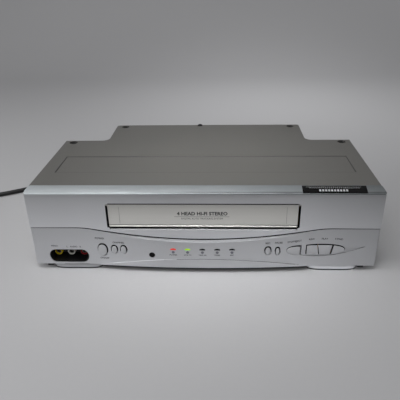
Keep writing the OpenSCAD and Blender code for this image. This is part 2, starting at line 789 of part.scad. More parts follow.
module chassis_base() {
    color([0.09, 0.09, 0.10]) difference() {
        union() {
            translate([0, 0, floor_z]) linear_extrude(floor_t)
                stepped_outline(chassis_in, face_y + wall + 4 + 2 * fit);
            translate([0, 0, floor_z]) linear_extrude(tray_h) difference() {
                stepped_outline(chassis_in, cover_y0 + 6);
                stepped_outline(chassis_in + panel_t, cover_y0 + 2);
            }
            // Front edge that shows as a black line under the panel
            translate([0, 0, floor_z]) linear_extrude(panel_z0 - floor_z - fit) difference() {
                intersection() {
                    union() {
                        front_plan(1);
                        bulge_plan(1);
                    }
                    translate([12 - end_x, front_y]) square([body_w - 24, face_y + wall + 6 - front_y]);
                }
                for (s = [-1, 1]) translate([s * foot_x, foot_y]) foot_plan(fit);
            }
            for (p = deck_posts) rod(p, 4.5, floor_z, deck_z);
            for (p = board_posts) rod(p, 3, floor_z, board_z);
            for (x = stay_xs) box([x - 5, board_y + board_t, floor_z], [x + 5, board_y + board_t + 3, 30]);
        }
        for (i = [-6 : 6]) box([i * 11 - 2, -30, floor_z - 1], [i * 11 + 2, 10, floor_top + 1]);
    }
}

deck_posts = [[-deck_w / 2 + 8, deck_y0 + 8], [deck_w / 2 - 8, deck_y0 + 8], [-deck_w / 2 + 8, deck_y1 - 8],
    [deck_rear_x - 8, deck_y1 - 8]];
board_posts = [for (s = [-1, 1]) each [[s * 116, step_y - 12], [s * 112, -40], [s * 60, rear_y - 14]]];

boss_w = 10;
// The sockets are this much thinner where they pass the rear panel
shank_in = 0.4;

module rear_hole(at, y, r) {
    translate([at[0], y, at[1]]) rotate([90, 0, 0]) cylinder(r = r, h = 8);
}

module rear_panel() {
    color([0.10, 0.10, 0.11]) difference() {
        union() {
            translate([0, 0, floor_top]) linear_extrude(cover_under - floor_top) intersection() {
                difference() {
                    stepped_outline(chassis_in);
                    stepped_outline(chassis_in + panel_t);
                }
                translate([-cover_w / 2, step_y - 10]) square([cover_w, body_d]);
            }
            screw_places() translate([-boss_w / 2, -boss_w / 2, -dish_depth - sheet_t - fit - 12])
                cube([boss_w, boss_w / 2 + screw_edge - chassis_in - 1, 12]);
            translate([rear_screw_x - boss_w / 2, rear_y - 12, rear_screw_z - boss_w / 2])
                cube([boss_w, 10, cover_under - rear_screw_z + boss_w / 2]);
        }
        screw_places() {
            translate([0, 0, -20]) cylinder(r = screw_r + run_fit, h = 20);
            translate([0, 0, -dish_depth - sheet_t - fit]) cylinder(r = dish_r + sheet_t + fit, h = 9);
        }
        translate([rear_screw_x, rear_y + 1, rear_screw_z]) rotate([90, 0, 0])
            cylinder(r = screw_r + run_fit, h = 20);
        // The tray's own wall takes the lowest part of the panel's place
        translate([0, 0, floor_z]) linear_extrude(tray_h + 0.02) difference() {
            stepped_outline(chassis_in - 1);
            stepped_outline(chassis_in + 3);
        }
        for (p = aerial_places) rear_hole(p, rear_y, aerial_r - shank_in + run_fit);
        for (p = rear_jack_places) rear_hole(p, rear_y, jack_r - shank_in + run_fit);
        rear_hole([relief_x, relief_z], step_y + 1, relief_neck_r + run_fit);
        // Air slots beside the sockets
        for (i = [0 : 9]) box([-96 + i * 8, rear_y - 8, 42], [-92 + i * 8, rear_y + 1, 72]);
    }
}

tuner_top = 74;
aerial_places = [for (k = [-1, 1]) [aerial_x, 52 + k * aerial_pitch / 2]];
rear_jack_out = 7.5;
rear_jack_z = [42, 58];
rear_jack_places = [for (i = [-1 : 1], z = rear_jack_z) [rear_jack_x + i * 16, z]];

foot_x = end_x - foot_side;
foot_y = face_y + foot_d / 2 - 0.2;

// A front foot seen from above: an oval with a nearly straight front, grown by grow
module foot_plan(grow = 0) {
    polygon(oval(0, 0, foot_w / 2 + grow, foot_d / 2 + grow, 4.5, 72));
}

module front_feet() {
    color([0.55, 0.55, 0.56]) for (s = [-1, 1])
        translate([s * foot_x, foot_y, rubber_t]) difference() {
            union() {
                linear_extrude(floor_z - rubber_t) foot_plan();
                linear_extrude(panel_z0 - rubber_t - 0.05) intersection() {
                    foot_plan();
                    translate([-foot_w, -foot_d / 2]) square([2 * foot_w, wall + 3.5]);
                }
            }
            translate([0, 0, -1]) linear_extrude(floor_z - rubber_t - 1) foot_plan(-4);
        }
}

rear_feet_places = [for (s = [-1, 1]) [s * (tab_w / 2 - 22), rear_y - 24]];

module rear_feet() {
    color([0.08, 0.08, 0.09]) for (p = rear_feet_places) rod(p, rear_foot_r, rubber_t, floor_z);
}

module foot_pads() {
    color([0.06, 0.06, 0.06]) {
        for (s = [-1, 1]) translate([s * foot_x, foot_y, 0]) linear_extrude(rubber_t) difference() {
            foot_plan(-1.2);
            foot_plan(-6);
        }
        for (p = rear_feet_places) rod(p, rear_foot_r - 1.5, 0, rubber_t);
    }
}

module one_screw() {
    difference() {
        union() {
            cylinder(r = screw_head_r, h = screw_head_h);
            translate([0, 0, -screw_l]) cylinder(r = screw_r, h = screw_l + 0.1);
        }
        for (a = [0, 90]) rotate(a) translate([-2, -0.4, screw_head_h - 1]) cube([4, 0.8, 2]);
    }
}

module cover_screws() {
    color([0.10, 0.10, 0.10]) {
        screw_places() translate([0, 0, -dish_depth]) one_screw();
        translate([rear_screw_x, rear_y, rear_screw_z]) rotate([-90, 0, 0]) one_screw();
    }
}

board_x = -120;

module main_board() {
    color([0.55, 0.42, 0.22]) difference() {
        translate([0, 0, board_z]) linear_extrude(board_t) intersection() {
            stepped_outline(chassis_in + 3, board_y + board_t + 4);
            translate([board_x, board_y + board_t + 5]) square([cover_w, body_d]);
        }
        for (p = deck_posts) rod(p, 5, board_z - 1, board_z + 4);
    }
}

bay_x = -cover_w / 2 + 8;
bay_w = 34;

module power_transformer() {
    color([0.20, 0.20, 0.21]) {
        box([bay_x, -30, floor_top], [bay_x + bay_w, 4, floor_top + 32]);
        box([bay_x + 6, -36, floor_top], [bay_x + bay_w - 6, 10, floor_top + 20]);
    }
}

board_top = board_z + board_t;
sink_y = -62;
sink_l = 48;
sink_h = 34;
sink_fins = 6;

module heat_sink() {
    color([0.75, 0.76, 0.78]) {
        box([board_x, sink_y, board_top], [board_x + 3, sink_y + sink_l, board_top + sink_h]);
        for (i = [0 : sink_fins - 1]) let(y = sink_y + i * (sink_l - 2.6) / (sink_fins - 1))
            box([board_x + 2.9, y, board_top], [board_x + 11, y + 2.6, board_top + sink_h]);
    }
}

module filter_capacitors() {
    // Across, back, radius and height of each
    cans = [[118, -64, 8, 30], [118, -44, 6, 22], [136, -66, 5, 18], [134, -50, 5, 18]];
    color([0.10, 0.14, 0.34]) for (c = cans) rod([c[0], c[1]], c[2], board_top, board_top + c[3]);
}

module tuner_can() {
    front = step_y + 4;
    color([0.72, 0.73, 0.74]) difference() {
        box([aerial_x - 12, front, board_z + board_t], [aerial_x + 14, rear_y - 4.5, tuner_top]);
        for (z = [30 : 8 : tuner_top - 12])
            box([aerial_x - 13, front + 10, z], [aerial_x - 11.4, rear_y - 20, z + 2]);
    }
}

module aerial_sockets() {
    color([0.78, 0.78, 0.76]) for (p = aerial_places) translate([p[0], body_d / 2, p[1]]) rotate([90, 0, 0])
        difference() {
            union() {
                cylinder(r = aerial_r, h = aerial_out);
                cylinder(r = aerial_r - shank_in, h = aerial_out + 4.5);
            }
            translate([0, 0, -1]) cylinder(r = 2.2, h = 9);
        }
}

module rear_phono_sockets() {
    color([0.75, 0.72, 0.40]) for (p = rear_jack_places)
        translate([p[0], rear_y + rear_jack_out, p[1]]) rotate([90, 0, 0]) difference() {
            union() {
                cylinder(r = jack_r, h = rear_jack_out);
                cylinder(r = jack_r - shank_in, h = rear_jack_out + 3.5);
            }
            translate([0, 0, -1]) cylinder(r = jack_bore, h = rear_jack_out);
        }
    color([0.07, 0.07, 0.08])
        box([rear_jack_x - 23, rear_y - 10.5, board_top],
            [rear_jack_x + 23, rear_y - 3.4, rear_jack_z[1] + 6]);
}

module deck_plate() {
    color([0.66, 0.67, 0.68]) difference() {
        union() {
            box([-deck_w / 2, deck_y0, deck_z], [deck_w / 2, step_y + 2, deck_top]);
            box([-deck_w / 2, step_y, deck_z], [deck_rear_x, deck_y1, deck_top]);
            for (s = [-1, 1]) {
                rod([s * reel_pitch / 2, reel_y], post_r, deck_top - 0.1, deck_top + 12);
                rod([s * reel_pitch / 2, reel_y], 4, deck_top - 0.1, wheel_z - 0.3);
            }
            rod(pinch_pivot, post_r, deck_top - 0.1, deck_top + 12);
            rod(pulley_at, boss_r, deck_z - 2.5, deck_top + 1.8);
        }
        rod(capstan_at, sleeve_r + 0.4, deck_z - 1, deck_top + 1);
        rod([0, drum_y], drum_r - 8, deck_z - 1, deck_top + 1);
        for (s = [-1, 1]) guide_slot(s);
        rod(pulley_at, axle_r + run_fit, deck_z - 4, deck_top + 3);
        rod([-40, lip_y + 106], 12, deck_z - 1, deck_top + 1);
        rod([38, lip_y + 104], 5, deck_z - 1, deck_top + 1);
    }
}

module guide_slot(s) {
    translate([s * guide_from[0], guide_from[1], deck_z - 1])
        rotate(s * -atan(guide_travel[0] / guide_travel[1])) linear_extrude(deck_t + 2) {
            translate([-2, 0]) square([4, norm(guide_travel)]);
            circle(r = 2);
            translate([0, norm(guide_travel)]) circle(r = 2);
        }
}

bracket_x = holder_w / 2 + 3.4;
stud_y = 19;

module carriage_brackets() {
    color([0.70, 0.71, 0.72]) for (s = [-1, 1]) difference() {
        box([s > 0 ? bracket_x : -bracket_x - 1.2, holder_y0, deck_top],
            [s > 0 ? bracket_x + 1.2 : -bracket_x, holder_y0 + holder_l + load_in + 4, holder_z0 + holder_h]);
        along_x(s > 0 ? bracket_x - 1 : -bracket_x - 2, s > 0 ? bracket_x + 2 : -bracket_x + 1)
            rounded(holder_y0 + stud_y - 3, holder_z0 + 10, holder_y0 + holder_l - stud_y + load_in + 3,
                holder_z0 + 16, 2.9);
    }
}

slide_x = holder_w / 2 + 0.6;
// The holder's pins ride in upright slots of the side plates
pin_ys = [10, 40];
pin_z = holder_z0 + 22;
slot_half = 2.2;
ledge_w = 9;

module carriage_slide() {
    color([0.50, 0.51, 0.53]) {
        for (s = [-1, 1]) difference() {
            union() {
                box([s > 0 ? slide_x : -slide_x - 1.4, holder_y0 + 2, holder_z0 - 8],
                    [s > 0 ? slide_x + 1.4 : -slide_x, holder_y0 + holder_l - 2, holder_z0 + holder_h + 0.9]);
                for (y = [stud_y, holder_l - stud_y])
                    translate([s * (slide_x + 2.3) - 2.4, holder_y0 + y, holder_z0 + 13]) rotate([0, 90, 0])
                        cylinder(r = 2.6, h = 4.8);
            }
            for (y = pin_ys) along_x(s > 0 ? slide_x - 1 : -slide_x - 3, s > 0 ? slide_x + 3 : -slide_x + 1)
                rounded(holder_y0 + y - slot_half, pin_z - load_down - slot_half,
                    holder_y0 + y + slot_half, pin_z + slot_half, slot_half - 0.1);
        }
        // Bar across the top that ties the two side plates
        box([-slide_x - 1, holder_y0 + 20, holder_z0 + holder_h - 0.5],
            [slide_x + 1, holder_y0 + 30, holder_z0 + holder_h + 0.9]);
    }
}

module cassette_holder() {
    top = holder_z0 + holder_h - 1;
    w = holder_w / 2;
    color([0.74, 0.75, 0.76]) {
        difference() {
            box([-w, holder_y0, top - carriage_t], [w, holder_y0 + holder_l, top]);
            box([-60, holder_y0 + 12, top - 4], [60, holder_y0 + holder_l - 10, top + 2]);
        }
        for (s = [-1, 1]) {
            box([s > 0 ? w - carriage_t : -w, holder_y0, holder_z0],
                [s > 0 ? w : -w + carriage_t, holder_y0 + holder_l, top]);
            box([s > 0 ? w - ledge_w : -w, holder_y0, holder_z0],
                [s > 0 ? w : -w + ledge_w, holder_y0 + holder_l, holder_z0 + carriage_t]);
            for (y = pin_ys) translate([s > 0 ? w - 0.2 : -w - 1.6, holder_y0 + y, pin_z]) rotate([0, 90, 0])
                cylinder(r = slot_half - fit, h = 1.8);
        }
    }
}

drum_foot = deck_top + 4;

module leaning() {
    translate([0, drum_y, drum_foot]) rotate([drum_lean, 0, 0]) children();
}

module lower_drum() {
    color([0.80, 0.81, 0.82]) {
        leaning() difference() {
            union() {
                cylinder(r = drum_r, h = drum_low_h, $fn = 96);
                cylinder(r = drum_foot_r, h = 3, $fn = 96);
            }
            translate([0, 0, -1]) cylinder(r = 3 + run_fit, h = drum_low_h + 2);
            translate([0, 0, drum_low_h - 2]) difference() {
                cylinder(r = drum_r - 3, h = 4);
                cylinder(r = 9, h = 4);
            }
        }
        for (a = [30, 150, 270]) rod([27 * cos(a), drum_y + 27 * sin(a)], 3, deck_top, drum_foot + 2.5);
    }
}

module upper_drum() {
    color([0.85, 0.86, 0.87]) leaning() {
        translate([0, 0, drum_low_h + 0.3]) difference() {
            cylinder(r = drum_r, h = drum_top_h, $fn = 96);
            for (a = [45 : 90 : 315]) rotate(a) translate([drum_r - 1.2, -2.2, -1]) cube([3, 4.4, 2.4]);
            translate([0, 0, drum_top_h - 3]) difference() {
                cylinder(r = drum_r - 4, h = 4);
                cylinder(r = 12, h = 5);
            }
        }
        translate([0, 0, 0.5]) cylinder(r = 3, h = drum_low_h);
    }
}

module drum_motor() {
    color([0.30, 0.31, 0.32]) leaning() translate([0, 0, -15]) {
        cylinder(r = drum_r - 10, h = 12);
        cylinder(r = 8, h = 15);
    }
}

flywheel_z = [board_top + 6, board_top + 11];
belt_z = [flywheel_z[1] + 0.6, flywheel_z[1] + 2.8];
capstan_pulley_r = 7;
pulley_r = 16;
sleeve_r = 4.6;

module capstan() {
    color([0.76, 0.77, 0.78]) {
        rod(capstan_at, flywheel_r, flywheel_z[0], flywheel_z[1]);
        rod(capstan_at, capstan_pulley_r, flywheel_z[1] - 0.1, belt_z[1] + 0.2);
        rod(capstan_at, capstan_r, flywheel_z[0], deck_top + 26);
    }
}

module capstan_motor() {
    color([0.20, 0.35, 0.24]) box([capstan_at[0] - 24, capstan_at[1] - 24, board_top],
        [capstan_at[0] + 24, capstan_at[1] + 24, flywheel_z[0] - 0.3]);
    // Bearing sleeve, flanged under the deck
    color([0.66, 0.67, 0.68]) difference() {
        union() {
            rod(capstan_at, sleeve_r, deck_z - 2, deck_top + 5);
            rod(capstan_at, sleeve_r + 3.4, deck_z - 1.5, deck_z);
        }
        rod(capstan_at, capstan_r + run_fit, deck_z - 5, deck_top + 9);
    }
}

module drive_pulley() {
    color([0.88, 0.88, 0.86]) difference() {
        union() {
            rod(pulley_at, pulley_r, belt_z[0] - 0.4, belt_z[1] + 0.4);
            rod(pulley_at, axle_r, belt_z[0], wheel_z + 0.1);
            rod(pulley_at, hub_r, wheel_z, wheel_z + wheel_h);
        }
        rod(pulley_at, 0.8, wheel_z + 1, wheel_z + wheel_h + 1);
    }
}

// Flat belt round two circles, with its straight runs tangent to both
module belt_shape(grow) {
    a = capstan_at;
    b = pulley_at;
    ra = capstan_pulley_r + grow;
    rb = pulley_r + grow;
    u = (b - a) / norm(b - a);
    turn = acos((ra - rb) / norm(b - a));
    v = [-u[1], u[0]];
    function side(s) = cos(turn) * u + s * sin(turn) * v;
    translate(a) circle(r = ra);
    translate(b) circle(r = rb);
    polygon([a + ra * side(1), b + rb * side(1), b + rb * side(-1), a + ra * side(-1)]);
}

module drive_belt() {
    color([0.05, 0.05, 0.05]) translate([0, 0, belt_z[0]]) linear_extrude(belt_z[1] - belt_z[0])
        difference() {
            belt_shape(1.5);
            belt_shape(0.3);
        }
}

module idler_arm() {
    color([0.30, 0.30, 0.32]) difference() {
        union() {
            translate([0, 0, deck_top + 0.3]) linear_extrude(1.2) {
                translate([pulley_at[0] - 3, pulley_at[1]]) square([6, idler_at[1] - pulley_at[1]]);
                translate(pulley_at) circle(r = boss_r + 2);
                translate(idler_at) circle(r = 4);
            }
            rod(idler_at, axle_r, deck_top + 1, wheel_z + wheel_h + 1.5);
        }
        rod(pulley_at, boss_r + run_fit, deck_top, deck_top + 4);
    }
}

module idler_wheel() {
    color([0.12, 0.12, 0.12]) difference() {
        rod(idler_at, idler_r, wheel_z, wheel_z + wheel_h);
        rod(idler_at, axle_r + run_fit, wheel_z - 1, wheel_z + wheel_h + 1);
    }
}

module reel_table(s) {
    at = [s * reel_pitch / 2, reel_y];
    color([0.90, 0.90, 0.88]) difference() {
        union() {
            rod(at, reel_r, wheel_z, wheel_z + wheel_h);
            rod(at, 9, wheel_z, wheel_z + 5.4);
            rod(at, 4.6, wheel_z, wheel_z + 15);
            for (a = [0, 120, 240]) translate([at[0], at[1], wheel_z]) rotate(a) translate([3, -0.8, 0])
                cube([4, 1.6, 13]);
        }
        rod(at, post_r + run_fit, wheel_z - 1, wheel_z + 12);
    }
}

module supply_reel_table() { reel_table(-1); }
module takeup_reel_table() { reel_table(1); }

pinch_at = [pinch_pivot[0] + pinch_arm_l * cos(pinch_rest), pinch_pivot[1] + pinch_arm_l * sin(pinch_rest)];

module pinch_arm() {
    color([0.60, 0.61, 0.62]) difference() {
        union() {
            translate([pinch_pivot[0], pinch_pivot[1], deck_top + 0.3]) rotate(pinch_rest) linear_extrude(2) {
                translate([0, -3.4]) square([pinch_arm_l, 6.8]);
                circle(r = 5);
                translate([pinch_arm_l, 0]) circle(r = 4);
            }
            rod(pinch_pivot, 5, deck_top + 0.3, deck_top + 11);
            rod(pinch_at, axle_r, deck_top + 2, deck_top + 24);
        }
        rod(pinch_pivot, post_r + run_fit, deck_top - 1, deck_top + 15);
    }
}

module pinch_roller() {
    color([0.10, 0.10, 0.10]) difference() {
        rod(pinch_at, pinch_r, deck_top + 6, deck_top + 22);
        rod(pinch_at, axle_r + run_fit, deck_top, deck_top + 30);
    }
}

module guide_block(s) {
    at = [s * guide_from[0], guide_from[1]];
    color([0.72, 0.73, 0.74]) {
        rod(at, 3.5, deck_top + 0.3, deck_top + 6);
        rod(at, 1.9, deck_z - 1.6, deck_top + 1);
        rod(at, 3.2, deck_z - 1.6, deck_z - 0.3);
        rod(at, 1.4, deck_top + 5, deck_top + 23);
        rod(at, 2.8, deck_top + 6, deck_top + 20);
        rod(at, 3.4, deck_top + 22, deck_top + 24);
    }
}

module guide_block_supply() { guide_block(-1); }
module guide_block_takeup() { guide_block(1); }

module tape_heads() {
    head_top = deck_top + 22;
    color([0.62, 0.63, 0.64]) {
        box([drum_r + 14, drum_y - 16.5, deck_top], [drum_r + 18, drum_y - 8.5, head_top]);
        box([-drum_r - 31, drum_y - 22, deck_top], [-drum_r - 23, drum_y - 12, head_top]);
    }
}

// Mains lead: it leaves the left bay's rear wall, lies on the floor and ends in a coil beside the recorder
relief_x = -150;
relief_z = 30;
relief_neck_r = 4.4;
cord_r = cord_d / 2;
relief_end = step_y + relief_l;

module strain_relief() {
    inside = chassis_in + panel_t + 3;
    color([0.05, 0.05, 0.05]) translate([relief_x, step_y - inside, relief_z]) rotate([-90, 0, 0])
        rotate_extrude() polygon([[0, 0], [7, 0], [7, 3], [relief_neck_r, 3], [relief_neck_r, 6.4], [7, 6.4],
            [7, 9], [5.6, 12], [5.6, 16], [5, 17], [5, 21], [4.5, 22], [4.5, 27], [cord_r + 0.9, 28],
            [cord_r + 0.7, inside + relief_l], [0, inside + relief_l]]);
}

// Hand-chosen points of the lead's free stretch, which runs straight out of the strain relief
lead_points = [[relief_x, relief_end, relief_z], [-150, 81, 29.8], [-150, 89, 27.5], [-151, 97, 21],
    [-153, 106, 12.5], [-158, 115, 6], [-167, 122, 3.3], [-179, 125.5, 3], [-193, 125, 3], [-208, 120.5, 3],
    [-224, 112.5, 3], [-240, 103, 3], [-254, 94, 3], [-268, 85.5, 3], [-282, 77.5, 3], [-295, 71, 3],
    [-308, 66, 3], [-321, 63, 3], [-334, 61.7, 3], [-346, 61.5, 3]];

// Catmull-Rom point between p[i] and p[i + 1]
function spline(p, i, t) = let(a = p[max(i - 1, 0)], b = p[i], c = p[i + 1], d = p[min(i + 2, len(p) - 1)])
    0.5 * (2 * b + (c - a) * t + (2 * a - 5 * b + 4 * c - d) * t * t + (3 * b - a - 3 * c + d) * t * t * t);
lead_path = concat([for (i = [0 : len(lead_points) - 2], t = [0, 0.5]) spline(lead_points, i, t)],
    [lead_points[len(lead_points) - 1]]);

// The coil: in along the floor, up in the half turn that reverses, and out again on top
coil_step = cord_d + coil_gap;
coil_in = 26;
coil_out = coil_in + coil_step * coil_turns;
coil_end = 2 * coil_turns + 0.25;
coil_centre = [-346, 61.5 - coil_out];
loop_rings = 24;
function coil_radius(t) = t < coil_turns + 0.25 ? coil_out - coil_step * t
    : coil_out - coil_step * (2 * coil_turns + 0.5 - t);
function climb(t) = let(s = min(max((t - coil_turns) / 0.5, 0), 1)) s * s * (3 - 2 * s);
function coil_point(t) = let(a = 90 + 360 * t, r = coil_radius(t))
    [coil_centre[0] + r * cos(a), coil_centre[1] + r * sin(a), 3 + coil_step * climb(t)];
// The tail leaves the top layer, comes down to the floor beside the coil and rises into the plug: along, up
tail_runs = [[8, 9.5], [16, 9.3], [24, 7.9], [32, 5.9], [40, 4.1], [48, 3.1], [56, 3.2], [64, 4.4], [72, 5.8],
    [79, 6.5], [86, 6.5]];
tail_from = coil_point(coil_end);
coil_path = concat([for (i = [0 : coil_end * loop_rings]) coil_point(i / loop_rings)],
    [for (run = tail_runs) [tail_from[0], tail_from[1] - run[0], run[1]]]);

// Rings of an n-sided tube of radius r round a path, whose end faces point along the two directions in ends
function tangent(p, i, ends) = i == 0 ? ends[0] : i == len(p) - 1 ? ends[1]
    : let(d = p[i + 1] - p[i - 1]) d / norm(d);
function ring(p, i, r, n, ends) =
    let(t = tangent(p, i, ends), side = cross(t, [0, 0, 1]), u = side / norm(side), v = cross(u, t))
    [for (k = [0 : n - 1]) let(a = 360 * (k + 0.5) / n) p[i] + r * (cos(a) * u + sin(a) * v)];
module tube(p, r, n, ends) {
    m = len(p);
    points = [for (i = [0 : m - 1]) each ring(p, i, r, n, ends)];
    faces = concat([[for (k = [0 : n - 1]) k]], [[for (k = [n - 1 : -1 : 0]) (m - 1) * n + k]],
        [for (i = [0 : m - 2], k = [0 : n - 1])
            let(a = i * n + k, b = i * n + (k + 1) % n, c = a + n, d = b + n) each [[a, c, b], [b, c, d]]]);
    polyhedron(points = points, faces = faces);
}

function path_length(p, i = 1) = i >= len(p) ? 0 : norm(p[i] - p[i - 1]) + path_length(p, i + 1);
echo(lead = path_length(lead_path), coil = path_length(coil_path));
echo(least_gap = min([for (i = [0 : len(coil_path) - 1], j = [i + 12 : 1 : len(coil_path) - 1])
    norm(coil_path[i] - coil_path[j])]) - cord_d);

module mains_lead() {
    color([0.05, 0.05, 0.05]) tube(lead_path, cord_r, 8, [[0, 1, 0], [-1, 0, 0]]);
}

module lead_coil() {
    color([0.05, 0.05, 0.05]) tube(coil_path, cord_r, 6, [[-1, 0, 0], [0, -1, 0]]);
}

// Plug with two flat blades, lying on its side beside the coil
module mains_plug() {
    neck_l = 8;
    body_l = 25;
    blade_l = 17;
    translate(coil_path[len(coil_path) - 1]) {
        color([0.06, 0.06, 0.06]) {
            rotate([90, 0, 0]) cylinder(r1 = cord_r + 1, r2 = 5.5, h = neck_l + 0.1);
            along_y(-body_l, -neck_l) rounded(-11, -6.5, 11, 6.5, 4);
        }
        color([0.80, 0.74, 0.50]) for (x = [-6.35, 6.35])
            box([x - 0.75, -body_l - blade_l, -3.15], [x + 0.75, -body_l + 0.1, 3.15]);
    }
}

top_cover();
front_bezel();
control_panel();
chassis_base();
rear_panel();
front_feet();
rear_feet();
foot_pads();
cover_screws();
service_plate();
cassette_door();
power_button();
channel_up_button();
channel_down_button();
record_button();
pause_button();
stop_eject_button();
rewind_button();
play_button();
fast_forward_button();
lens_red();
lens_green();
dark_windows();
front_socket_block();
video_in_front();
audio_left_in_front();
audio_right_in_front();
front_board();
tact_switches();
main_board();
power_transformer();
heat_sink();
filter_capacitors();
tuner_can();
aerial_sockets();
rear_phono_sockets();
deck_plate();
carriage_brackets();
carriage_slide();
cassette_holder();
lower_drum();
upper_drum();
drum_motor();
capstan();
capstan_motor();
drive_pulley();
drive_belt();
idler_arm();
idler_wheel();
pinch_arm();
pinch_roller();
supply_reel_table();
takeup_reel_table();
guide_block_supply();
guide_block_takeup();
tape_heads();
strain_relief();
mains_lead();
lead_coil();
mains_plug();
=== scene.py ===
"""Looks of a front-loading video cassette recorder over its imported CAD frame. Metres, Z up, -Y is the front."""

import json
import math

import bmesh
import bpy
from mathutils import Matrix, Vector


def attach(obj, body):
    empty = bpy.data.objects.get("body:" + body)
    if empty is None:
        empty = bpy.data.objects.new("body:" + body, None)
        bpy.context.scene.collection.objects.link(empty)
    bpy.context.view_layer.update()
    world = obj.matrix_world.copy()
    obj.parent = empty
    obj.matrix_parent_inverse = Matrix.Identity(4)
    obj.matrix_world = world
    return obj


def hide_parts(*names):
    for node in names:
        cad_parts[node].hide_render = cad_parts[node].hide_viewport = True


bl_info = {
    "name": "Cassette Recorder Dresser",
    "version": (1, 0, 0),
    "blender": (4, 5, 0),
    "location": "3D View > Sidebar > Recorder",
    "description": "Dresses a packed video cassette recorder with rounded shells, finishes and a studio",
    "category": "Add Mesh",
}

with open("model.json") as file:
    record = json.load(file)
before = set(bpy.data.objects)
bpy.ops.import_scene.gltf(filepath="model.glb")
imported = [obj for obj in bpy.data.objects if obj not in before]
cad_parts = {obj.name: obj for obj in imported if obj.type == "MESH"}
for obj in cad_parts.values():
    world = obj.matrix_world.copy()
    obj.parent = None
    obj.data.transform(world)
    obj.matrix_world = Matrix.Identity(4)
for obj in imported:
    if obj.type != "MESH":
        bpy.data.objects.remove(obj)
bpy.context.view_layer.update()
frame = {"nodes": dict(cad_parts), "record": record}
BODY_OF = {node: body for body, nodes in frame["record"]["behaviour"]["bodies"].items() for node in nodes}

FLAT = 0.0015  # radians: triangles that lie this close to one plane are one face
BENT = math.radians(30)  # an edge that bends at least this much may be rounded

# Driving places of the recorder, in metres, as the source gives them. _HALF is half a width, _LOW and _TOP are
# heights, _X, _Y and _Z are places across, in depth and up.
FACE_Y = -0.1055
COVER_FRONT = -0.0947
STEP_Y = 0.0399
REAR_Y = 0.102
REAR_FACE = 0.10095
TOP_Z = 0.094
HAIR = 0.0001  # tells a face that lies on a surface from one behind it
TOUCH = 0.00001  # vertices this near to a plane lie on it

# How much of a face's normal lies along an axis: 0 for a face along it, 1 for a face straight across it
FACING = 0.9
STEEP = 0.6
SLOPED = 0.4
LEANING = 0.3

# How far behind the flat face a moulding's skin and its rounded outer edges reach
SKIN = 0.003
OUTER_EDGE = 0.0006

# The nose, and the control panel's bulge
NOSE_LOW = 0.0893
NOSE_DEPTH = 0.0106
NOSE_FALL = 0.0033
NOSE_SLOPE = 0.12  # faces that look up less than this are below the nose
LIP_SLOPE = 0.91  # and those of the nose that look up less than this are the lip's
BULGE = 0.0057
BULGE_HALF = 0.118
BULGE_TOP = 0.036
PANEL_LOW = 0.0068
PANEL_DROP = 0.0007  # how far the panel's foot comes down
SCOOP_LEFT = 0.084  # the scoop under the transport keys
SCOOP_LOW = 0.0150
SCOOP_TOP = 0.0340

# The raised crescent: its lower side, its rise over the panel, the slope of its rounded edge, and where along it the
# painted highlight ends and the painted shade starts
CRESCENT_LOW = 0.0075
CRESCENT_RISE = 0.0006
CRESCENT_SLOPE = (0.15, 0.97)
CRESCENT_HIGHLIGHT_END = -0.040
CRESCENT_SHADE_START = -0.028

# The cassette door, its opening and the seam under it
DOOR_HALF = 0.0972
DOOR_LOW = 0.0501
DOOR_TOP = 0.0787
DOOR_MIDDLE = (DOOR_LOW + DOOR_TOP) / 2
DOOR_FACE = FACE_Y + 0.0008
DOOR_DEPTH = 0.004  # how far behind the front the door's shell reaches
DOOR_MARK_X = 0.085
DOOR_MARK_HALF = 0.0004
DOOR_MARK_LOW = DOOR_LOW + 0.004
DOOR_SHRINK = (1.0012, 0.9970, 0.960)  # of the left half, of the right half and in height
DOOR_WIDER = (0.0014, 0.0011)  # how far the opening's left and right ends go outwards
OPENING_MARGIN = 0.0015  # how far past the door's opening its walls may lie
OPENING_EDGE = 0.0003  # how near to the opening's ends the vertices of those ends lie
SILL_LOW = 0.047
SILL_SHADE = 0.0008  # height of the strip of painted shade along the sill's upper edge
BEAD_TOP = 0.0533
GROOVE = 0.0008
SEAM_TOP = 0.052
SEAM_EDGE = 0.0512  # the moulding's lower edge lies under this beside the door
SEAM_CLEAR = (0.0018, 0.0016)  # how far beside and below the door's opening that edge lies
SEAM_LIFT = (-0.0003, 0.0005)  # at the ends and in the middle
SEAM_FADE = (0.155, 0.06)  # the lift grows from this place inwards, over this length

# The sockets' recess: its middle, half its width and height, its corner radius in the source and as drawn, and how
# far its lower edge comes down
RECESS_X = -0.143
RECESS_Z = 0.0165
RECESS_HALF = (0.0212, 0.0076)
RECESS_CORNER = 0.006
RECESS_ROUNDER = 0.0075
RECESS_DROP = 0.0010
RECESS_MARGIN = 0.0004
RECESS_LOW = RECESS_Z - RECESS_HALF[1]
RECESS_BACK = FACE_Y + 0.012  # the walls of the recess lie before this
RECESS_RIM = (-0.157, -0.136)  # the part of its lower rim that carries a painted highlight
RECESS_RIGHT = -0.119
JACK_XS = {"video_in_front": -0.157, "audio_left_in_front": -0.143, "audio_right_in_front": -0.129}
JACK_Z = 0.0165
JACK_BACK = FACE_Y + 0.016
REAR_JACKS = {"white": 0.034, "red": 0.050, "yellow": 0.066}
REAR_JACK_ZS = (0.042, 0.058)
AERIALS = [(0.092, 0.041), (0.092, 0.063)]

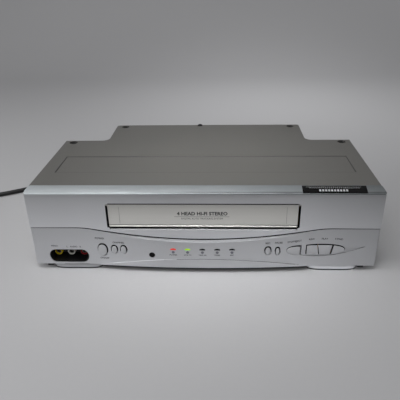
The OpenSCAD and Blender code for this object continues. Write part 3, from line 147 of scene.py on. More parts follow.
# Openings of the keys, the lamps and the receiver window: across, up, half width, half height
WELLS = [(-0.1057, 0.0251, 0.0057, 0.0077), (-0.0931, 0.026, 0.004, 0.0055), (-0.0833, 0.0263, 0.004, 0.0055),
         (0.0672, 0.0265, 0.0039, 0.0053), (0.0772, 0.0258, 0.0031, 0.0051), (0.0940, 0.026, 0.0077, 0.0059),
         (0.1267, 0.026, 0.0202, 0.0067), (-0.0005, 0.0289, 0.0340, 0.0025), (-0.0534, 0.0207, 0.0033, 0.0033)]
WELL_MARGIN = 0.0014
# Gap of each key: drawn in at the sides, drawn in at the top, and moved across
KEY_GAPS = [("power_button", 0.0007, 0.0017, -0.0006), ("channel_up_button", 0.0008, 0.0015, -0.0003),
            ("channel_down_button", 0.0008, 0.0015, -0.0003), ("record_button", 0.0009, 0.0015, 0.0),
            ("pause_button", 0.0009, 0.0015, 0.0), ("stop_eject_button", 0.0005, 0.0013, -0.0005),
            ("rewind_button", 0.0005, 0.0013, 0.0003), ("play_button", 0.0003, 0.0013, -0.0002),
            ("fast_forward_button", 0.0005, 0.0013, 0.0002)]
KEY_Z = 0.026
CAP_DEPTH = 0.0036
SPLITS = ((0.1194, -0.15), (0.1331, 0.2))  # place across and slant of the splits beside the play key
SPLIT_REACH = 0.004
LAMP_LOW = 0.0274
LAMP_HIGH = 0.0306
LAMP_REACH = 0.0345
LAMP_MARGIN = 0.0004
LAMP_SHARE = 0.66  # of a lamp's height that is left open
LAMP_XS = [-0.031, -0.016, -0.0006, 0.0148, 0.0301]

# The strip under the front, which carries painted shade beside the front feet, the feet (in the source and as drawn)
# and their pads
STRIP_FRONT = -0.1030
STRIP_SHIFT = (0.0007, 0.0014)  # forwards and down
FOOT_X = (0.1345, 0.1357)
FOOT_Y = -0.0887
FOOT_HALF = 0.0264
FOOT_WIDEN = 1.07
PAD_WIDEN = (1.11, 1.057)  # across and in depth

# The cover's pressed rectangle, screws and the notch over the rear screw
COVER_OUTER = 0.1771
PRESS_HALF = (0.1605, 0.0230)
PRESS_MIDDLE = -0.0383
SCREW_PLACES = [(-0.111, 0.095), (0.111, 0.095), (-0.166, 0.0329), (0.166, 0.0329)]
SCREW_SEAT = TOP_Z - 0.0022
SEAT_RADIUS = 0.0065
REAR_SCREW = (-0.010, 0.0905)
NOTCH_HALF = 0.0033
NOTCH_Y = REAR_Y - 0.0056

# The service plate's lower edge starts past this place and comes down by this much
PLATE_LOW = -0.1020
PLATE_REACH = 0.0013
# Its rows of dashes: first and last place across, pitch, width, and the depths of a dash's two edges
PLATE_ROWS = ((0.1030, 0.1570, 0.0020, 0.0013, -0.0979, -0.0975), (0.1060, 0.1545, 0.0019, 0.0012, -0.0993, -0.0989),
              (0.1150, 0.1450, 0.0029, 0.0019, -0.1036, -0.1013))
PRINT_LIFT = (0.00016, 0.00008)  # top and bottom of the dashes above the nose
INK_HALF = 0.00004  # half the thickness of the printed words

DRUM = (0.0, 0.0615, 0.0382)  # middle of the head drum

# The photograph's camera: where it stands, how it is turned and its lens on a 36 mm wide picture
CAMERA_AT = (0.0185, -0.5357, 0.2979)
CAMERA_DOWN = math.radians(26.53)
CAMERA_TURN = math.radians(-2.76)
CAMERA_ROLL = math.radians(1.16)
CAMERA_LENS = 43.553

# The studio's lights: name, place, point aimed at, width, spread in degrees (180 is open) and share of the power
LIGHTS = [
    ("overhead_light", (-0.25, -0.25, 0.8), (0, -0.05, 0.04), 0.4, 180, 1.0),
    ("front_left_light", (-0.6, -0.9, 0.6), (0, -0.05, 0.04), 0.5, 180, 1.36),
    ("left_light", (-0.9, -0.1, 0.5), (0, -0.05, 0.04), 0.5, 180, 0.95),
    ("right_light", (0.9, -0.3, 0.5), (0, -0.05, 0.04), 0.5, 180, 0.10),
    ("top_pool", (0.005, -0.28, 0.8), (0.005, -0.02, 0.09), 0.2, 32, 0.75),
    ("backdrop_pool", (0.12, 0.45, 0.9), (0.15, 0.58, 0.0), 0.3, 64, 1.6),
]

# The mains lead's route: the free stretch, as the source has it, and the coil by rule
LEAD_POINTS = [(-0.150, 0.0739, 0.030), (-0.150, 0.081, 0.0298), (-0.150, 0.089, 0.0275), (-0.151, 0.097, 0.021),
               (-0.153, 0.106, 0.0125), (-0.158, 0.115, 0.006), (-0.167, 0.122, 0.0033), (-0.179, 0.1255, 0.003),
               (-0.193, 0.125, 0.003), (-0.208, 0.1205, 0.003), (-0.224, 0.1125, 0.003), (-0.240, 0.103, 0.003),
               (-0.254, 0.094, 0.003), (-0.268, 0.0855, 0.003), (-0.282, 0.0775, 0.003), (-0.295, 0.071, 0.003),
               (-0.308, 0.066, 0.003), (-0.321, 0.063, 0.003), (-0.334, 0.0617, 0.003), (-0.346, 0.0615, 0.003)]
TAIL_RUNS = [(0.008, 0.0095), (0.016, 0.0093), (0.024, 0.0079), (0.032, 0.0059), (0.040, 0.0041), (0.048, 0.0031),
             (0.056, 0.0032), (0.064, 0.0044), (0.072, 0.0058), (0.079, 0.0065), (0.086, 0.0065)]
CORD_D = 0.006
COIL_STEP = 0.0065
COIL_TURNS = 3
COIL_OUT = 0.026 + COIL_STEP * COIL_TURNS
COIL_RINGS = 24
BLADES_BACK = 0.0251  # how far behind the lead's end the plug's blades start

# The studio's paper: half its width, where it stands up, how high, and the radius of its sweep
PAPER_HALF = 12.0
PAPER_BACK = 1.3
PAPER_TOP = 2.2
PAPER_SWEEP = 0.5


# ---- Settings that a user would change

def linear(code):
    """An sRGB hex colour as linear red, green and blue."""
    parts = [int(code[i:i + 2], 16) / 255 for i in (0, 2, 4)]
    return tuple(c / 12.92 if c <= 0.04045 else ((c + 0.055) / 1.055) ** 2.4 for c in parts)


def colour(name, description, code):
    return bpy.props.FloatVectorProperty(name=name, description=description, subtype="COLOR", size=3,
                                         min=0, max=1, default=linear(code))


def length(name, description, default, low, high):
    return bpy.props.FloatProperty(name=name, description=description, default=default, min=low, max=high,
                                   unit="LENGTH", precision=5)


class RecorderShellSettings(bpy.types.PropertyGroup):
    cover_paint: colour("Cover paint", "Grey paint of the steel cover", "62615E")
    front_silver: colour("Front silver", "Silver lacquer of the front mouldings", "B1B2B5")
    door_silver: colour("Door silver", "Warmer silver of the cassette door", "C5C4C0")
    fold_radius: length("Fold radius", "Rounding of the cover's folds", 0.0011, 0.0002, 0.002)
    edge_radius: length("Edge radius", "Rounding of the moulded edges", 0.0004, 0.0001, 0.001)


class RecorderKeySettings(bpy.types.PropertyGroup):
    silver: colour("Key silver", "Silver lacquer of the keys", "BBBCBF")
    crown: length("Crown", "Height that a key's face bulges", 0.0005, 0.0, 0.001)
    edge: length("Edge", "Rounding of a key's edge", 0.0005, 0.0001, 0.001)
    print_ink: colour("Ink", "Dark ink of the small printed signs", "1C1D20")


class RecorderLampSettings(bpy.types.PropertyGroup):
    lit_red: colour("Lit red", "Colour of the lit power lamp", "D8382E")
    lit_green: colour("Lit green", "Colour of the lit second lamp", "98D000")
    glow: bpy.props.FloatProperty(name="Glow", description="Light of a lit lamp", default=0.3, min=0, max=5)


class RecorderStageSettings(bpy.types.PropertyGroup):
    floor: colour("Floor", "Colour of the studio's floor and backdrop", "BEBEC0")
    key_power: bpy.props.FloatProperty(name="Soft lights", description="Power of the overhead soft light",
                                       default=1.6, min=0, unit="POWER")
    pool_power: bpy.props.FloatProperty(name="Pools", description="Power of the narrow light from above",
                                        default=0.24, min=0, unit="POWER")
    sky: bpy.props.FloatProperty(name="Room light", description="Strength of the even room light",
                                 default=0.366, min=0, max=2)


# ---- Nodes, meshes and pieces

def add(tree, kind, inputs=None, **settings):
    """Adds a node with its settings; an input is a plain value or the socket that it is linked to."""
    node = tree.nodes.new(kind)
    for name, value in settings.items():
        setattr(node, name, value)
    for name, value in (inputs or {}).items():
        if isinstance(value, bpy.types.NodeSocket):
            tree.links.new(value, node.inputs[name])
        else:
            node.inputs[name].default_value = value
    return node


def rgba(values):
    return (*values, 1.0)


def finish_material(name, **sockets):
    """A new material with one principled shader; returns it with its tree, shader and Object coordinates."""
    material = bpy.data.materials.new(name)
    material.use_nodes = True
    tree = material.node_tree
    tree.nodes.clear()
    shader = add(tree, "ShaderNodeBsdfPrincipled", sockets)
    out = add(tree, "ShaderNodeOutputMaterial")
    tree.links.new(shader.outputs["BSDF"], out.inputs["Surface"])
    where = add(tree, "ShaderNodeTexCoord").outputs["Object"]
    return material, tree, shader, where


def shade(values, share):
    return tuple(max(0.0, min(1.0, v * share)) for v in values)


def follow(parts, source, base, spread, rough, depth, coarse=0.0):
    """Lets a pattern steer a finish's tone, roughness and relief, with a slower drift of tone where asked."""
    material, tree, shader, where = parts
    tone = add(tree, "ShaderNodeMix", {"Factor": source, 6: rgba(shade(base, 1 - spread)),
                                       7: rgba(shade(base, 1 + spread))}, data_type="RGBA").outputs[2]
    if coarse:
        drift = add(tree, "ShaderNodeTexNoise", {"Vector": where, "Scale": 1 / coarse, "Detail": 1.0})
        level = add(tree, "ShaderNodeMapRange", {"Value": drift.outputs["Fac"], "To Min": 0.96, "To Max": 1.04})
        tone = add(tree, "ShaderNodeVectorMath", {0: tone, "Scale": level.outputs["Result"]},
                   operation="SCALE").outputs["Vector"]
    relief = add(tree, "ShaderNodeBump", {"Height": source, "Strength": 1.0, "Distance": depth})
    tree.links.new(tone, shader.inputs["Base Color"])
    tree.links.new(relief.outputs["Normal"], shader.inputs["Normal"])
    if rough:
        gloss = add(tree, "ShaderNodeMapRange", {"Value": source, "To Min": rough[0], "To Max": rough[1]})
        tree.links.new(gloss.outputs["Result"], shader.inputs["Roughness"])
    return material


def grained(name, base, size, spread, rough, depth, coarse=0.0, **sockets):
    """A moulded, painted, printed or plated surface: fine grains `size` metres across and a shallow bump."""
    parts = finish_material(name, **sockets)
    grain = add(parts[1], "ShaderNodeTexNoise", {"Vector": parts[3], "Scale": 1 / size, "Detail": 3.0})
    return follow(parts, grain.outputs["Fac"], base, spread, rough, depth, coarse)


def lined(name, base, pitch, axis, spread, rough, depth, rings=None, **sockets):
    """Lines `pitch` metres apart across an axis, or rings round the point `rings`, as brushing or turning leaves."""
    parts = finish_material(name, **sockets)
    tree, where = parts[1], parts[3]
    kind = "BANDS" if rings is None else "RINGS"
    if rings:
        where = add(tree, "ShaderNodeMapping", {"Vector": where, "Location": [-v for v in rings]}).outputs["Vector"]
    wave = add(tree, "ShaderNodeTexWave", {"Vector": where, "Scale": 0.5 / pitch, "Distortion": 0.4, "Detail": 2.0},
               wave_type=kind, **{kind.lower() + "_direction": axis})
    return follow(parts, wave.outputs["Fac"], base, spread, rough, depth)


def tone_of(material):
    """A finish's tree, shader, the socket that gives its colour, and its Object coordinates."""
    tree = material.node_tree
    shader = next(n for n in tree.nodes if n.type == "BSDF_PRINCIPLED")
    at = add(tree, "ShaderNodeSeparateXYZ", {0: add(tree, "ShaderNodeTexCoord").outputs["Object"]}).outputs
    return tree, shader, shader.inputs["Base Color"].links[0].from_socket, at


MATERIALS = {}

# Plain finishes: name, sRGB colour, grain and spread of tone, roughness, depth of the bump and other sockets.
# Each comment says what the surface is, or what light or shade is painted on it, and what that gives the eye.
FINISHES = {
    # Painted shade: near black and dull, on the walls of gaps, recesses and grooves, on strips beside them and on the
    # cover's notch, where shade falls
    "painted_shade": ("black_bare_moulding", "08080A", 0.001, 0.1, (0.6, 0.7), 0.00001, {"Specular IOR Level": 0.2}),
    # Painted highlight on the door's bead: a bright lacquer that gives one clear line of light
    "bead": ("bright_door_bead", "DEDED8", 0.0007, 0.03, (0.25, 0.35), 0.00001, {"Metallic": 0.3}),
    # Screen-printed ink of the round marks: flat
    "pale_ink": ("violet_grey_ink", "6A6B73", 0.001, 0.1, (0.5, 0.6), 0.000002, {}),
    # Moulded ABS with a spark-eroded texture: soft, broken sheen
    "black": ("black_moulded_abs", "17181A", 0.0008, 0.15, (0.45, 0.6), 0.00003, {}),
    "deep_black": ("black_socket_moulding", "0D0E10", 0.0008, 0.15, (0.35, 0.5), 0.00002, {}),
    # Electro-coated sheet steel: even black with a slight orange peel
    "chassis": ("black_coated_steel", "1B1C1E", 0.0015, 0.12, (0.35, 0.5), 0.00002, {"Metallic": 0.2}),
    # Black oxide on steel: dark, faintly oily
    "screw": ("black_oxide_steel", "0F0F11", 0.0006, 0.2, (0.45, 0.6), 0.00001,
              {"Metallic": 0.2, "Specular IOR Level": 0.3}),
    # Glossy film and the light print on it
    "plate": ("black_gloss_film", "060607", 0.004, 0.1, (0.15, 0.2), 0.000005, {"Specular IOR Level": 0.2}),
    "plate_print": ("grey_plate_print", "A9ABAD", 0.001, 0.05, (0.4, 0.5), 0.000002, {}),
    # Moulded rubber: matte, takes the light softly
    "rubber": ("black_foot_rubber", "18181A", 0.001, 0.15, (0.7, 0.85), 0.00004, {}),
    # Extruded vinyl sheath: soft sheen, fine drag marks
    "vinyl": ("black_vinyl_sheath", "0F0F11", 0.0012, 0.15, (0.34, 0.46), 0.00002, {}),
    # Plated metals: sharp reflections, slightly clouded
    "brass": ("plated_brass_blade", "C9B878", 0.0015, 0.06, (0.2, 0.3), 0.00001, {"Metallic": 1.0}),
    "nickel": ("bright_nickel_plate", "C6C5C0", 0.0015, 0.05, (0.15, 0.25), 0.00001, {"Metallic": 1.0}),
    # The contact sleeves' plate is set dark as painted shade deep inside the front sockets
    "contact": ("dull_contact_sleeve", "5A5955", 0.0015, 0.05, (0.3, 0.4), 0.00001, {"Metallic": 0.8}),
    # Injection-moulded insulators: glossy and evenly coloured, set darker as painted shade of the deep front recess;
    # the rear collars use the same colours
    "yellow": ("glossy_yellow_insulator", "B89F14", 0.001, 0.05, (0.22, 0.3), 0.00001, {}),
    "white": ("glossy_white_insulator", "B9B9B2", 0.001, 0.05, (0.22, 0.3), 0.00001, {}),
    "red": ("glossy_red_insulator", "7E1019", 0.001, 0.05, (0.22, 0.3), 0.00001, {}),
    # Smoked acrylic: polished and almost black
    "dark_lens": ("smoked_lens", "080709", 0.001, 0.1, (0.15, 0.2), 0.000004, {"Specular IOR Level": 0.15}),
    # Phenolic paper board: brown, faintly fibrous
    "board": ("phenolic_paper_board", "A07A42", 0.0006, 0.15, (0.45, 0.6), 0.00002, {"coarse": 0.02}),
    # Moulded switch cases, shrunk sleeve and enamel: low, even gloss
    "switch": ("black_switch_case", "202124", 0.001, 0.1, (0.35, 0.45), 0.00001, {}),
    "sleeve": ("blue_shrink_sleeve", "1C2A55", 0.001, 0.08, (0.25, 0.35), 0.00001, {}),
    "motor": ("grey_motor_enamel", "56605A", 0.001, 0.1, (0.4, 0.5), 0.00002, {}),
    # Tinned sheet, and zinc plate with its faint spangle about 3 mm across
    "tin": ("tinned_sheet", "AAACAD", 0.003, 0.08, (0.28, 0.42), 0.00001, {"Metallic": 1.0}),
    "zinc": ("zinc_plated_sheet", "A9ACAE", 0.003, 0.08, (0.28, 0.4), 0.00001, {"Metallic": 1.0, "coarse": 0.03}),
    # Acetal: milky and slightly waxy
    "acetal": ("white_acetal", "DAD9D2", 0.0012, 0.03, (0.35, 0.45), 0.00001, {}),
}

# Finishes with lines: name, sRGB colour, pitch, axis, spread of tone, roughness, depth of the bump and other sockets
LINED_FINISHES = {
    # Varnished steel laminations, 0.5 mm drawn at 1 mm: fine dark stripes
    "core": ("varnished_laminations", "3A3835", 0.001, "X", 0.3, (0.35, 0.5), 0.0001, {"Metallic": 0.4}),
    # Extruded aluminium: faint streaks along the fins
    "fins": ("extruded_aluminium", "B4B6BA", 0.0008, "Z", 0.06, (0.3, 0.42), 0.00004, {"Metallic": 1.0}),
    # Diamond-turned aluminium: rings round the drum and a bright, slightly spread reflection
    "drum": ("diamond_turned_aluminium", "C4C6C8", 0.0006, "Z", 0.04, (0.12, 0.24), 0.000008,
             {"rings": DRUM, "Metallic": 1.0}),
    # Ground steel: close lines and a bright reflection
    "steel": ("ground_steel", "B9BABC", 0.0005, "Z", 0.04, (0.16, 0.26), 0.000005, {"Metallic": 1.0}),
}

# Painted light and shade of the lacquered pieces: the front, panel and door darker towards the top, where the
# overhanging parts above shade them, the feet darker at top and bottom, the nose and lip a painted highlight on the
# left that fades to the right, and each lighter or darker across as the light falls. The tone by height and across,
# each from (place, tone) to (place, tone)
TONE_TOP = 2.0
ACROSS_LIGHT = ((-0.18, 1.13), (-0.12, 1.10), (-0.03, 0.97), (0.10, 1.09), (0.18, 0.90))
LIGHT_TONES = {
    "front": (((0.050, 1.26), (0.070, 1.04), (0.088, 0.80)), ACROSS_LIGHT),
    "nose": (((0.089, 0.86), (0.094, 0.80)), ((-0.18, 1.32), (-0.06, 0.94), (0.06, 0.72), (0.18, 0.46))),
    "panel": (((0.008, 1.16), (0.030, 1.10), (0.050, 0.96)), ACROSS_LIGHT),
    "foot": (((0.001, 0.35), (0.0028, 1.05), (0.0042, 0.90), (0.0062, 0.50)), ((-0.12, 1.0), (0.12, 1.95))),
    "lip": (((0.089, 1.0), (0.094, 1.0)), ((-0.18, 0.95), (-0.08, 0.75), (0.0, 0.28), (0.18, 0.22))),
    "door": (((0.052, 1.10), (0.064, 1.0), (0.078, 0.70)), ((-0.18, 1.0), (0.18, 1.0))),
}


def painted_press_shade(material):
    """Darkens the cover's paint along the pressed rectangle's edge: painted shade where the pressed step falls into
    shadow, wider on its front side.
    """
    tree, shader, colour_from, at = tone_of(material)
    reach = []
    for axis, middle, half in (("X", 0.0, PRESS_HALF[0]), ("Y", PRESS_MIDDLE, PRESS_HALF[1])):
        shifted = add(tree, "ShaderNodeMath", {0: at[axis], 1: middle}, operation="SUBTRACT")
        size = add(tree, "ShaderNodeMath", {0: shifted.outputs[0]}, operation="ABSOLUTE")
        reach.append(add(tree, "ShaderNodeMath", {0: size.outputs[0], 1: half}, operation="SUBTRACT").outputs[0])
    edge = add(tree, "ShaderNodeMath", {0: reach[0], 1: reach[1]}, operation="MAXIMUM")
    off = add(tree, "ShaderNodeMath", {0: edge.outputs[0]}, operation="ABSOLUTE")
    near = add(tree, "ShaderNodeMath", {0: at["Y"], 1: PRESS_MIDDLE}, operation="LESS_THAN")
    wide = add(tree, "ShaderNodeMapRange", {"Value": near.outputs[0], "To Min": 0.0005, "To Max": 0.0011})
    share = add(tree, "ShaderNodeMapRange", {"Value": off.outputs[0], "From Min": 0.0003,
                                             "From Max": wide.outputs["Result"], "To Min": 0.45, "To Max": 1.0})
    dark = add(tree, "ShaderNodeVectorMath", {0: colour_from, "Scale": share.outputs["Result"]}, operation="SCALE")
    tree.links.new(dark.outputs["Vector"], shader.inputs["Base Color"])


def ramp(tree, source, low, high, stops):
    """A tone that follows a coordinate from stop to stop; the stops are (place, tone)."""
    share = add(tree, "ShaderNodeMapRange", {"Value": source, "From Min": low, "From Max": high})
    node = add(tree, "ShaderNodeValToRGB", {"Fac": share.outputs["Result"]})
    while len(node.color_ramp.elements) < len(stops):
        node.color_ramp.elements.new(1.0)
    for element, (place, _tone) in zip(node.color_ramp.elements, stops):
        element.position = (place - low) / (high - low)
    for element, (_place, tone) in zip(node.color_ramp.elements, stops):
        element.color = rgba((tone / TONE_TOP,) * 3)
    return add(tree, "ShaderNodeMath", {0: node.outputs["Color"], 1: TONE_TOP}, operation="MULTIPLY").outputs[0]


def paint_light_and_shade(material, upward, across):
    """Multiplies a finish's colour by a tone that changes with height and a tone that changes across the front:
    painted light and shade.
    """
    tree, shader, colour_from, at = tone_of(material)
    level = add(tree, "ShaderNodeMath", {0: ramp(tree, at["Z"], 0.0, TOP_Z, upward),
                                         1: ramp(tree, at["X"], -0.18, 0.18, across)}, operation="MULTIPLY")
    tinted = add(tree, "ShaderNodeVectorMath", {0: colour_from, "Scale": level.outputs[0]}, operation="SCALE")
    tree.links.new(tinted.outputs["Vector"], shader.inputs["Base Color"])
    return material


def flake_lacquer(name, base, rough=(0.32, 0.40), metallic=0.45):
    """Aluminium-flake lacquer over moulded ABS: soft metal sheen, flakes of 0.1 mm drawn at 0.7 mm."""
    return grained(name, base, 0.0007, 0.035, rough, 0.00001, coarse=0.06,
                   **{"Metallic": metallic, "Coat Weight": 0.08, "Coat Roughness": 0.3})


def make_materials():
    """Every finish, named for what the surface is or for the light or shade that is painted on it."""
    shell = bpy.context.scene.recorder_shell
    keys = bpy.context.scene.recorder_keys
    lamps = bpy.context.scene.recorder_lamps
    m = MATERIALS
    for key, (name, code, *rest, more) in FINISHES.items():
        m[key] = grained(name, linear(code), *rest, **more)
    for key, (name, code, *rest, more) in LINED_FINISHES.items():
        m[key] = lined(name, linear(code), *rest, **more)
    # Fine-textured baked enamel on steel: matte, with a grain that breaks up every reflection. Real grit is about
    # 0.3 mm; drawn at 0.9 mm so that it shows.
    paint_colour = tuple(shell.cover_paint)
    m["cover"] = grained("textured_baked_enamel", paint_colour, 0.0009, 0.10, (0.42, 0.58), 0.00005, 0.09,
                         **{"Metallic": 0.15})
    # Painted shade along the pressed rectangle's edge
    painted_press_shade(m["cover"])
    # Painted shade in the dished screw seats: the cover's paint at 0.35 of its brightness
    m["seat_shade"] = grained("shaded_screw_seat", shade(paint_colour, 0.35), 0.0009, 0.1, (0.5, 0.6), 0.00003)
    silver = tuple(shell.front_silver)
    cool = tuple(c * share for c, share in zip(silver, (0.97, 1.03, 1.03)))
    # Silver lacquers that carry painted light and shade by height and across; the lip's own lacquer holds its painted
    # highlight
    for key, name, base, *rest in (
            ("front", "silver_flake_lacquer", silver), ("nose", "nose_flake_lacquer", cool),
            ("panel", "panel_flake_lacquer", silver), ("foot", "foot_flake_lacquer", silver),
            ("lip", "lip_lacquer", cool, (0.36, 0.44)),
            ("door", "warm_silver_lacquer", tuple(shell.door_silver), (0.36, 0.44), 0.4)):
        m[key] = paint_light_and_shade(flake_lacquer(name, base, *rest), *LIGHT_TONES[key])
    # Lit and shaded copies of the silver lacquer: a painted highlight on the crescent's left edge and the recess's
    # rim, painted shade on the crescent's right edge and the door's marks, painted light on the bulge's top, and
    # painted shade on the sill and the scoop
    for key, name, share, *rest in (
            ("bright_edge", "bright_edge_lacquer", 1.6, (0.3, 0.38)),
            ("dull_edge", "dull_edge_lacquer", 0.4, (0.4, 0.5), 0.2),
            ("shelf", "shelf_lacquer", 1.12, (0.4, 0.5)),
            ("front_shade", "shaded_silver_lacquer", 0.62, (0.4, 0.5), 0.3)):
        m[key] = flake_lacquer(name, shade(silver, share), *rest)
    # Lacquered keys: smoother than the mouldings, with a clear coat
    m["key"] = grained("key_lacquer", tuple(keys.silver), 0.0006, 0.03, (0.28, 0.36), 0.00001,
                       **{"Metallic": 0.4, "Coat Weight": 0.15, "Coat Roughness": 0.25})
    m["ink"] = grained("screen_printed_ink", tuple(keys.print_ink), 0.001, 0.1, (0.5, 0.6), 0.000002)
    # Lit acrylic lenses: glossy, coloured and glowing a little
    for name, tint in (("red", tuple(lamps.lit_red)), ("green", tuple(lamps.lit_green))):
        m["lit_" + name] = grained("lit_" + name + "_lens", tint, 0.001, 0.05, (0.18, 0.24), 0.000004,
                                   **{"Emission Color": rgba(tint), "Emission Strength": lamps.glow})


def merged_copy(node):
    """A CAD node's loose triangles as one closed mesh with whole flat faces."""
    bm = bmesh.new()
    bm.from_mesh(frame["nodes"][node].data)
    bmesh.ops.remove_doubles(bm, verts=bm.verts, dist=3e-6)
    bmesh.ops.dissolve_limit(bm, angle_limit=FLAT, verts=bm.verts, edges=bm.edges)
    return bm


def soften(bm, width, where, segments):
    """Rounds the edges that bend more than BENT, where the middle of the edge passes `where` or that is None."""
    edges = [edge for edge in bm.edges if len(edge.link_faces) == 2 and edge.calc_face_angle(0) >= BENT
             and (where is None or where((edge.verts[0].co + edge.verts[1].co) / 2))]
    if edges:
        bmesh.ops.bevel(bm, geom=edges, offset=width, segments=segments, profile=0.5, affect="EDGES",
                        clamp_overlap=True)


def closed(bm, merge=0.0):
    """Merges the seams where asked, and turns every face outwards."""
    if merge:
        bmesh.ops.remove_doubles(bm, verts=bm.verts, dist=merge)
    bmesh.ops.recalc_face_normals(bm, faces=bm.faces)
    return bm


def put(name, data):
    """A new object in the scene, at the origin."""
    made = bpy.data.objects.new(name, data)
    bpy.context.scene.collection.objects.link(made)
    return made


def evaluated(piece):
    """The mesh that a piece has with its modifiers."""
    return bpy.data.meshes.new_from_object(piece.evaluated_get(bpy.context.evaluated_depsgraph_get()))


def new_piece(bm, name, material, smooth=38):
    """A finished object at the origin, smooth but for edges sharper than `smooth` degrees."""
    mesh = bpy.data.meshes.new(name)
    bm.to_mesh(mesh)
    bm.free()
    mesh.polygons.foreach_set("use_smooth", [True] * len(mesh.polygons))
    mesh.set_sharp_from_angle(angle=math.radians(smooth))
    mesh.materials.clear()
    mesh.materials.append(MATERIALS[material])
    return put(name, mesh)


def even_out(piece):
    """Weighted normals keep wide flat faces flat beside their rounded edges."""
    weigh = piece.modifiers.new("Weigh", "WEIGHTED_NORMAL")
    weigh.keep_sharp = True
    weigh.weight = 80
    made = evaluated(piece)
    piece.modifiers.clear()
    old = piece.data
    piece.data = made
    made.name = old.name
    bpy.data.meshes.remove(old)
    return piece


def stand_for(piece, *nodes):
    """The piece rides with and replaces these CAD nodes."""
    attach(piece, BODY_OF[nodes[0]])
    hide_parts(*nodes)
    return piece


def ride_on(piece, node):
    """A small extra piece that moves with a CAD node's body."""
    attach(piece, BODY_OF[node])
    return piece


def paint(piece, material, where):
    """A second finish on the faces whose centre and normal pass `where`."""
    piece.data.materials.append(MATERIALS[material])
    index = len(piece.data.materials) - 1
    for face in piece.data.polygons:
        if where(face.center, face.normal):
            face.material_index = index
    return piece


def dress(node, material, *rounds, name=None, cuts=(), paints=(), bend=None):
    """Stands for a CAD node with its own shape, rounded edges and finishes.

    A round is (width, where, segments), a cut is (axis, place) of a plane that splits faces, a paint is
    (material, where) and `bend` moves each vertex."""
    bm = merged_copy(node)
    for axis, place in cuts:
        normal = Vector([float(i == axis) for i in range(3)])
        bmesh.ops.bisect_plane(bm, geom=bm.verts[:] + bm.edges[:] + bm.faces[:], plane_co=normal * place,
                               plane_no=normal, dist=1e-6)
    if bend:
        for vert in bm.verts:
            vert.co = Vector(bend(*vert.co))
    for width, where, segments in rounds:
        soften(bm, width, where, segments)
    piece = even_out(new_piece(bm, name or node + "_finished", material))
    for finish, where in paints:
        paint(piece, finish, where)
    return stand_for(piece, node)


def ring_faces(bm, lower, upper):
    count = len(lower)
    for i in range(count):
        j = (i + 1) % count
        bm.faces.new((lower[i], lower[j], upper[j], upper[i]))


def lathe(bm, profile, centre, axis="Y", segments=48):
    """Turns a profile of (radius, distance along the axis) round the Y or Z axis; a radius of 0 closes an end."""
    rings = []
    for radius, along in profile:
        count = 1 if radius == 0 else segments
        ring = []
        for i in range(count):
            a = math.tau * i / segments
            u, v = radius * math.cos(a), radius * math.sin(a)
            offset = Vector((v, along, u) if axis == "Y" else (u, v, along))
            ring.append(bm.verts.new(Vector(centre) + offset))
        rings.append(ring)
    for lower, upper in zip(rings, rings[1:]):
        if len(lower) == 1:
            for i in range(segments):
                bm.faces.new((lower[0], upper[(i + 1) % segments], upper[i]))
        elif len(upper) == 1:
            for i in range(segments):
                bm.faces.new((lower[i], lower[(i + 1) % segments], upper[0]))
        else:
            ring_faces(bm, lower, upper)
    return bm


def turned(name, material, profile, centre=(0, 0, 0), merge=0.0):
    """A finished piece turned round a line along Y."""
    return new_piece(closed(lathe(bmesh.new(), profile, centre), merge), name, material)


def prism(bm, outline, front, back):
    """A closed plate from an (x, z) outline, whose front and back are functions of (x, z) that give y."""
    near = [bm.verts.new((x, front(x, z), z)) for x, z in outline]
    far = [bm.verts.new((x, back(x, z), z)) for x, z in outline]
    bm.faces.new(near)
    bm.faces.new(far[::-1])
    ring_faces(bm, far, near)


def panel_y(x, _z=0.0):
    """The control panel's face, which bulges towards the middle."""
    return FACE_Y - BULGE * max(0.0, 1 - (x / BULGE_HALF) ** 2)


# ---- Geometry Nodes for what repeats

def repeat_tree():
    """Copies of one piece on the points of a mesh line, or on the modifier's own points when Count is 0."""
    tree = bpy.data.node_groups.new("Repeat Piece", "GeometryNodeTree")
    face = tree.interface
    face.new_socket("Geometry", in_out="OUTPUT", socket_type="NodeSocketGeometry")
    face.new_socket("Geometry", in_out="INPUT", socket_type="NodeSocketGeometry")
    for name, kind in (("Piece", "Object"), ("Count", "Int"), ("Start", "Vector"), ("Step", "Vector"),
                       ("Turn", "Rotation"), ("Finish", "Material")):
        face.new_socket(name, in_out="INPUT", socket_type="NodeSocket" + kind)
    given = add(tree, "NodeGroupInput").outputs
    line = add(tree, "GeometryNodeMeshLine", {"Count": given["Count"], "Start Location": given["Start"],
                                              "Offset": given["Step"]}, mode="OFFSET")
    points = add(tree, "GeometryNodeJoinGeometry")
    for source in (given["Geometry"], line.outputs["Mesh"]):
        tree.links.new(source, points.inputs["Geometry"])
    model = add(tree, "GeometryNodeObjectInfo", {"Object": given["Piece"]})
    copies = add(tree, "GeometryNodeInstanceOnPoints", {
        "Points": points.outputs["Geometry"], "Instance": model.outputs["Geometry"], "Rotation": given["Turn"]})
    solid = add(tree, "GeometryNodeRealizeInstances", {"Geometry": copies.outputs["Instances"]})
    painted = add(tree, "GeometryNodeSetMaterial", {"Geometry": solid.outputs["Geometry"],
                                                    "Material": given["Finish"]})
    out = add(tree, "NodeGroupOutput")
    tree.links.new(painted.outputs["Geometry"], out.inputs["Geometry"])
    return tree


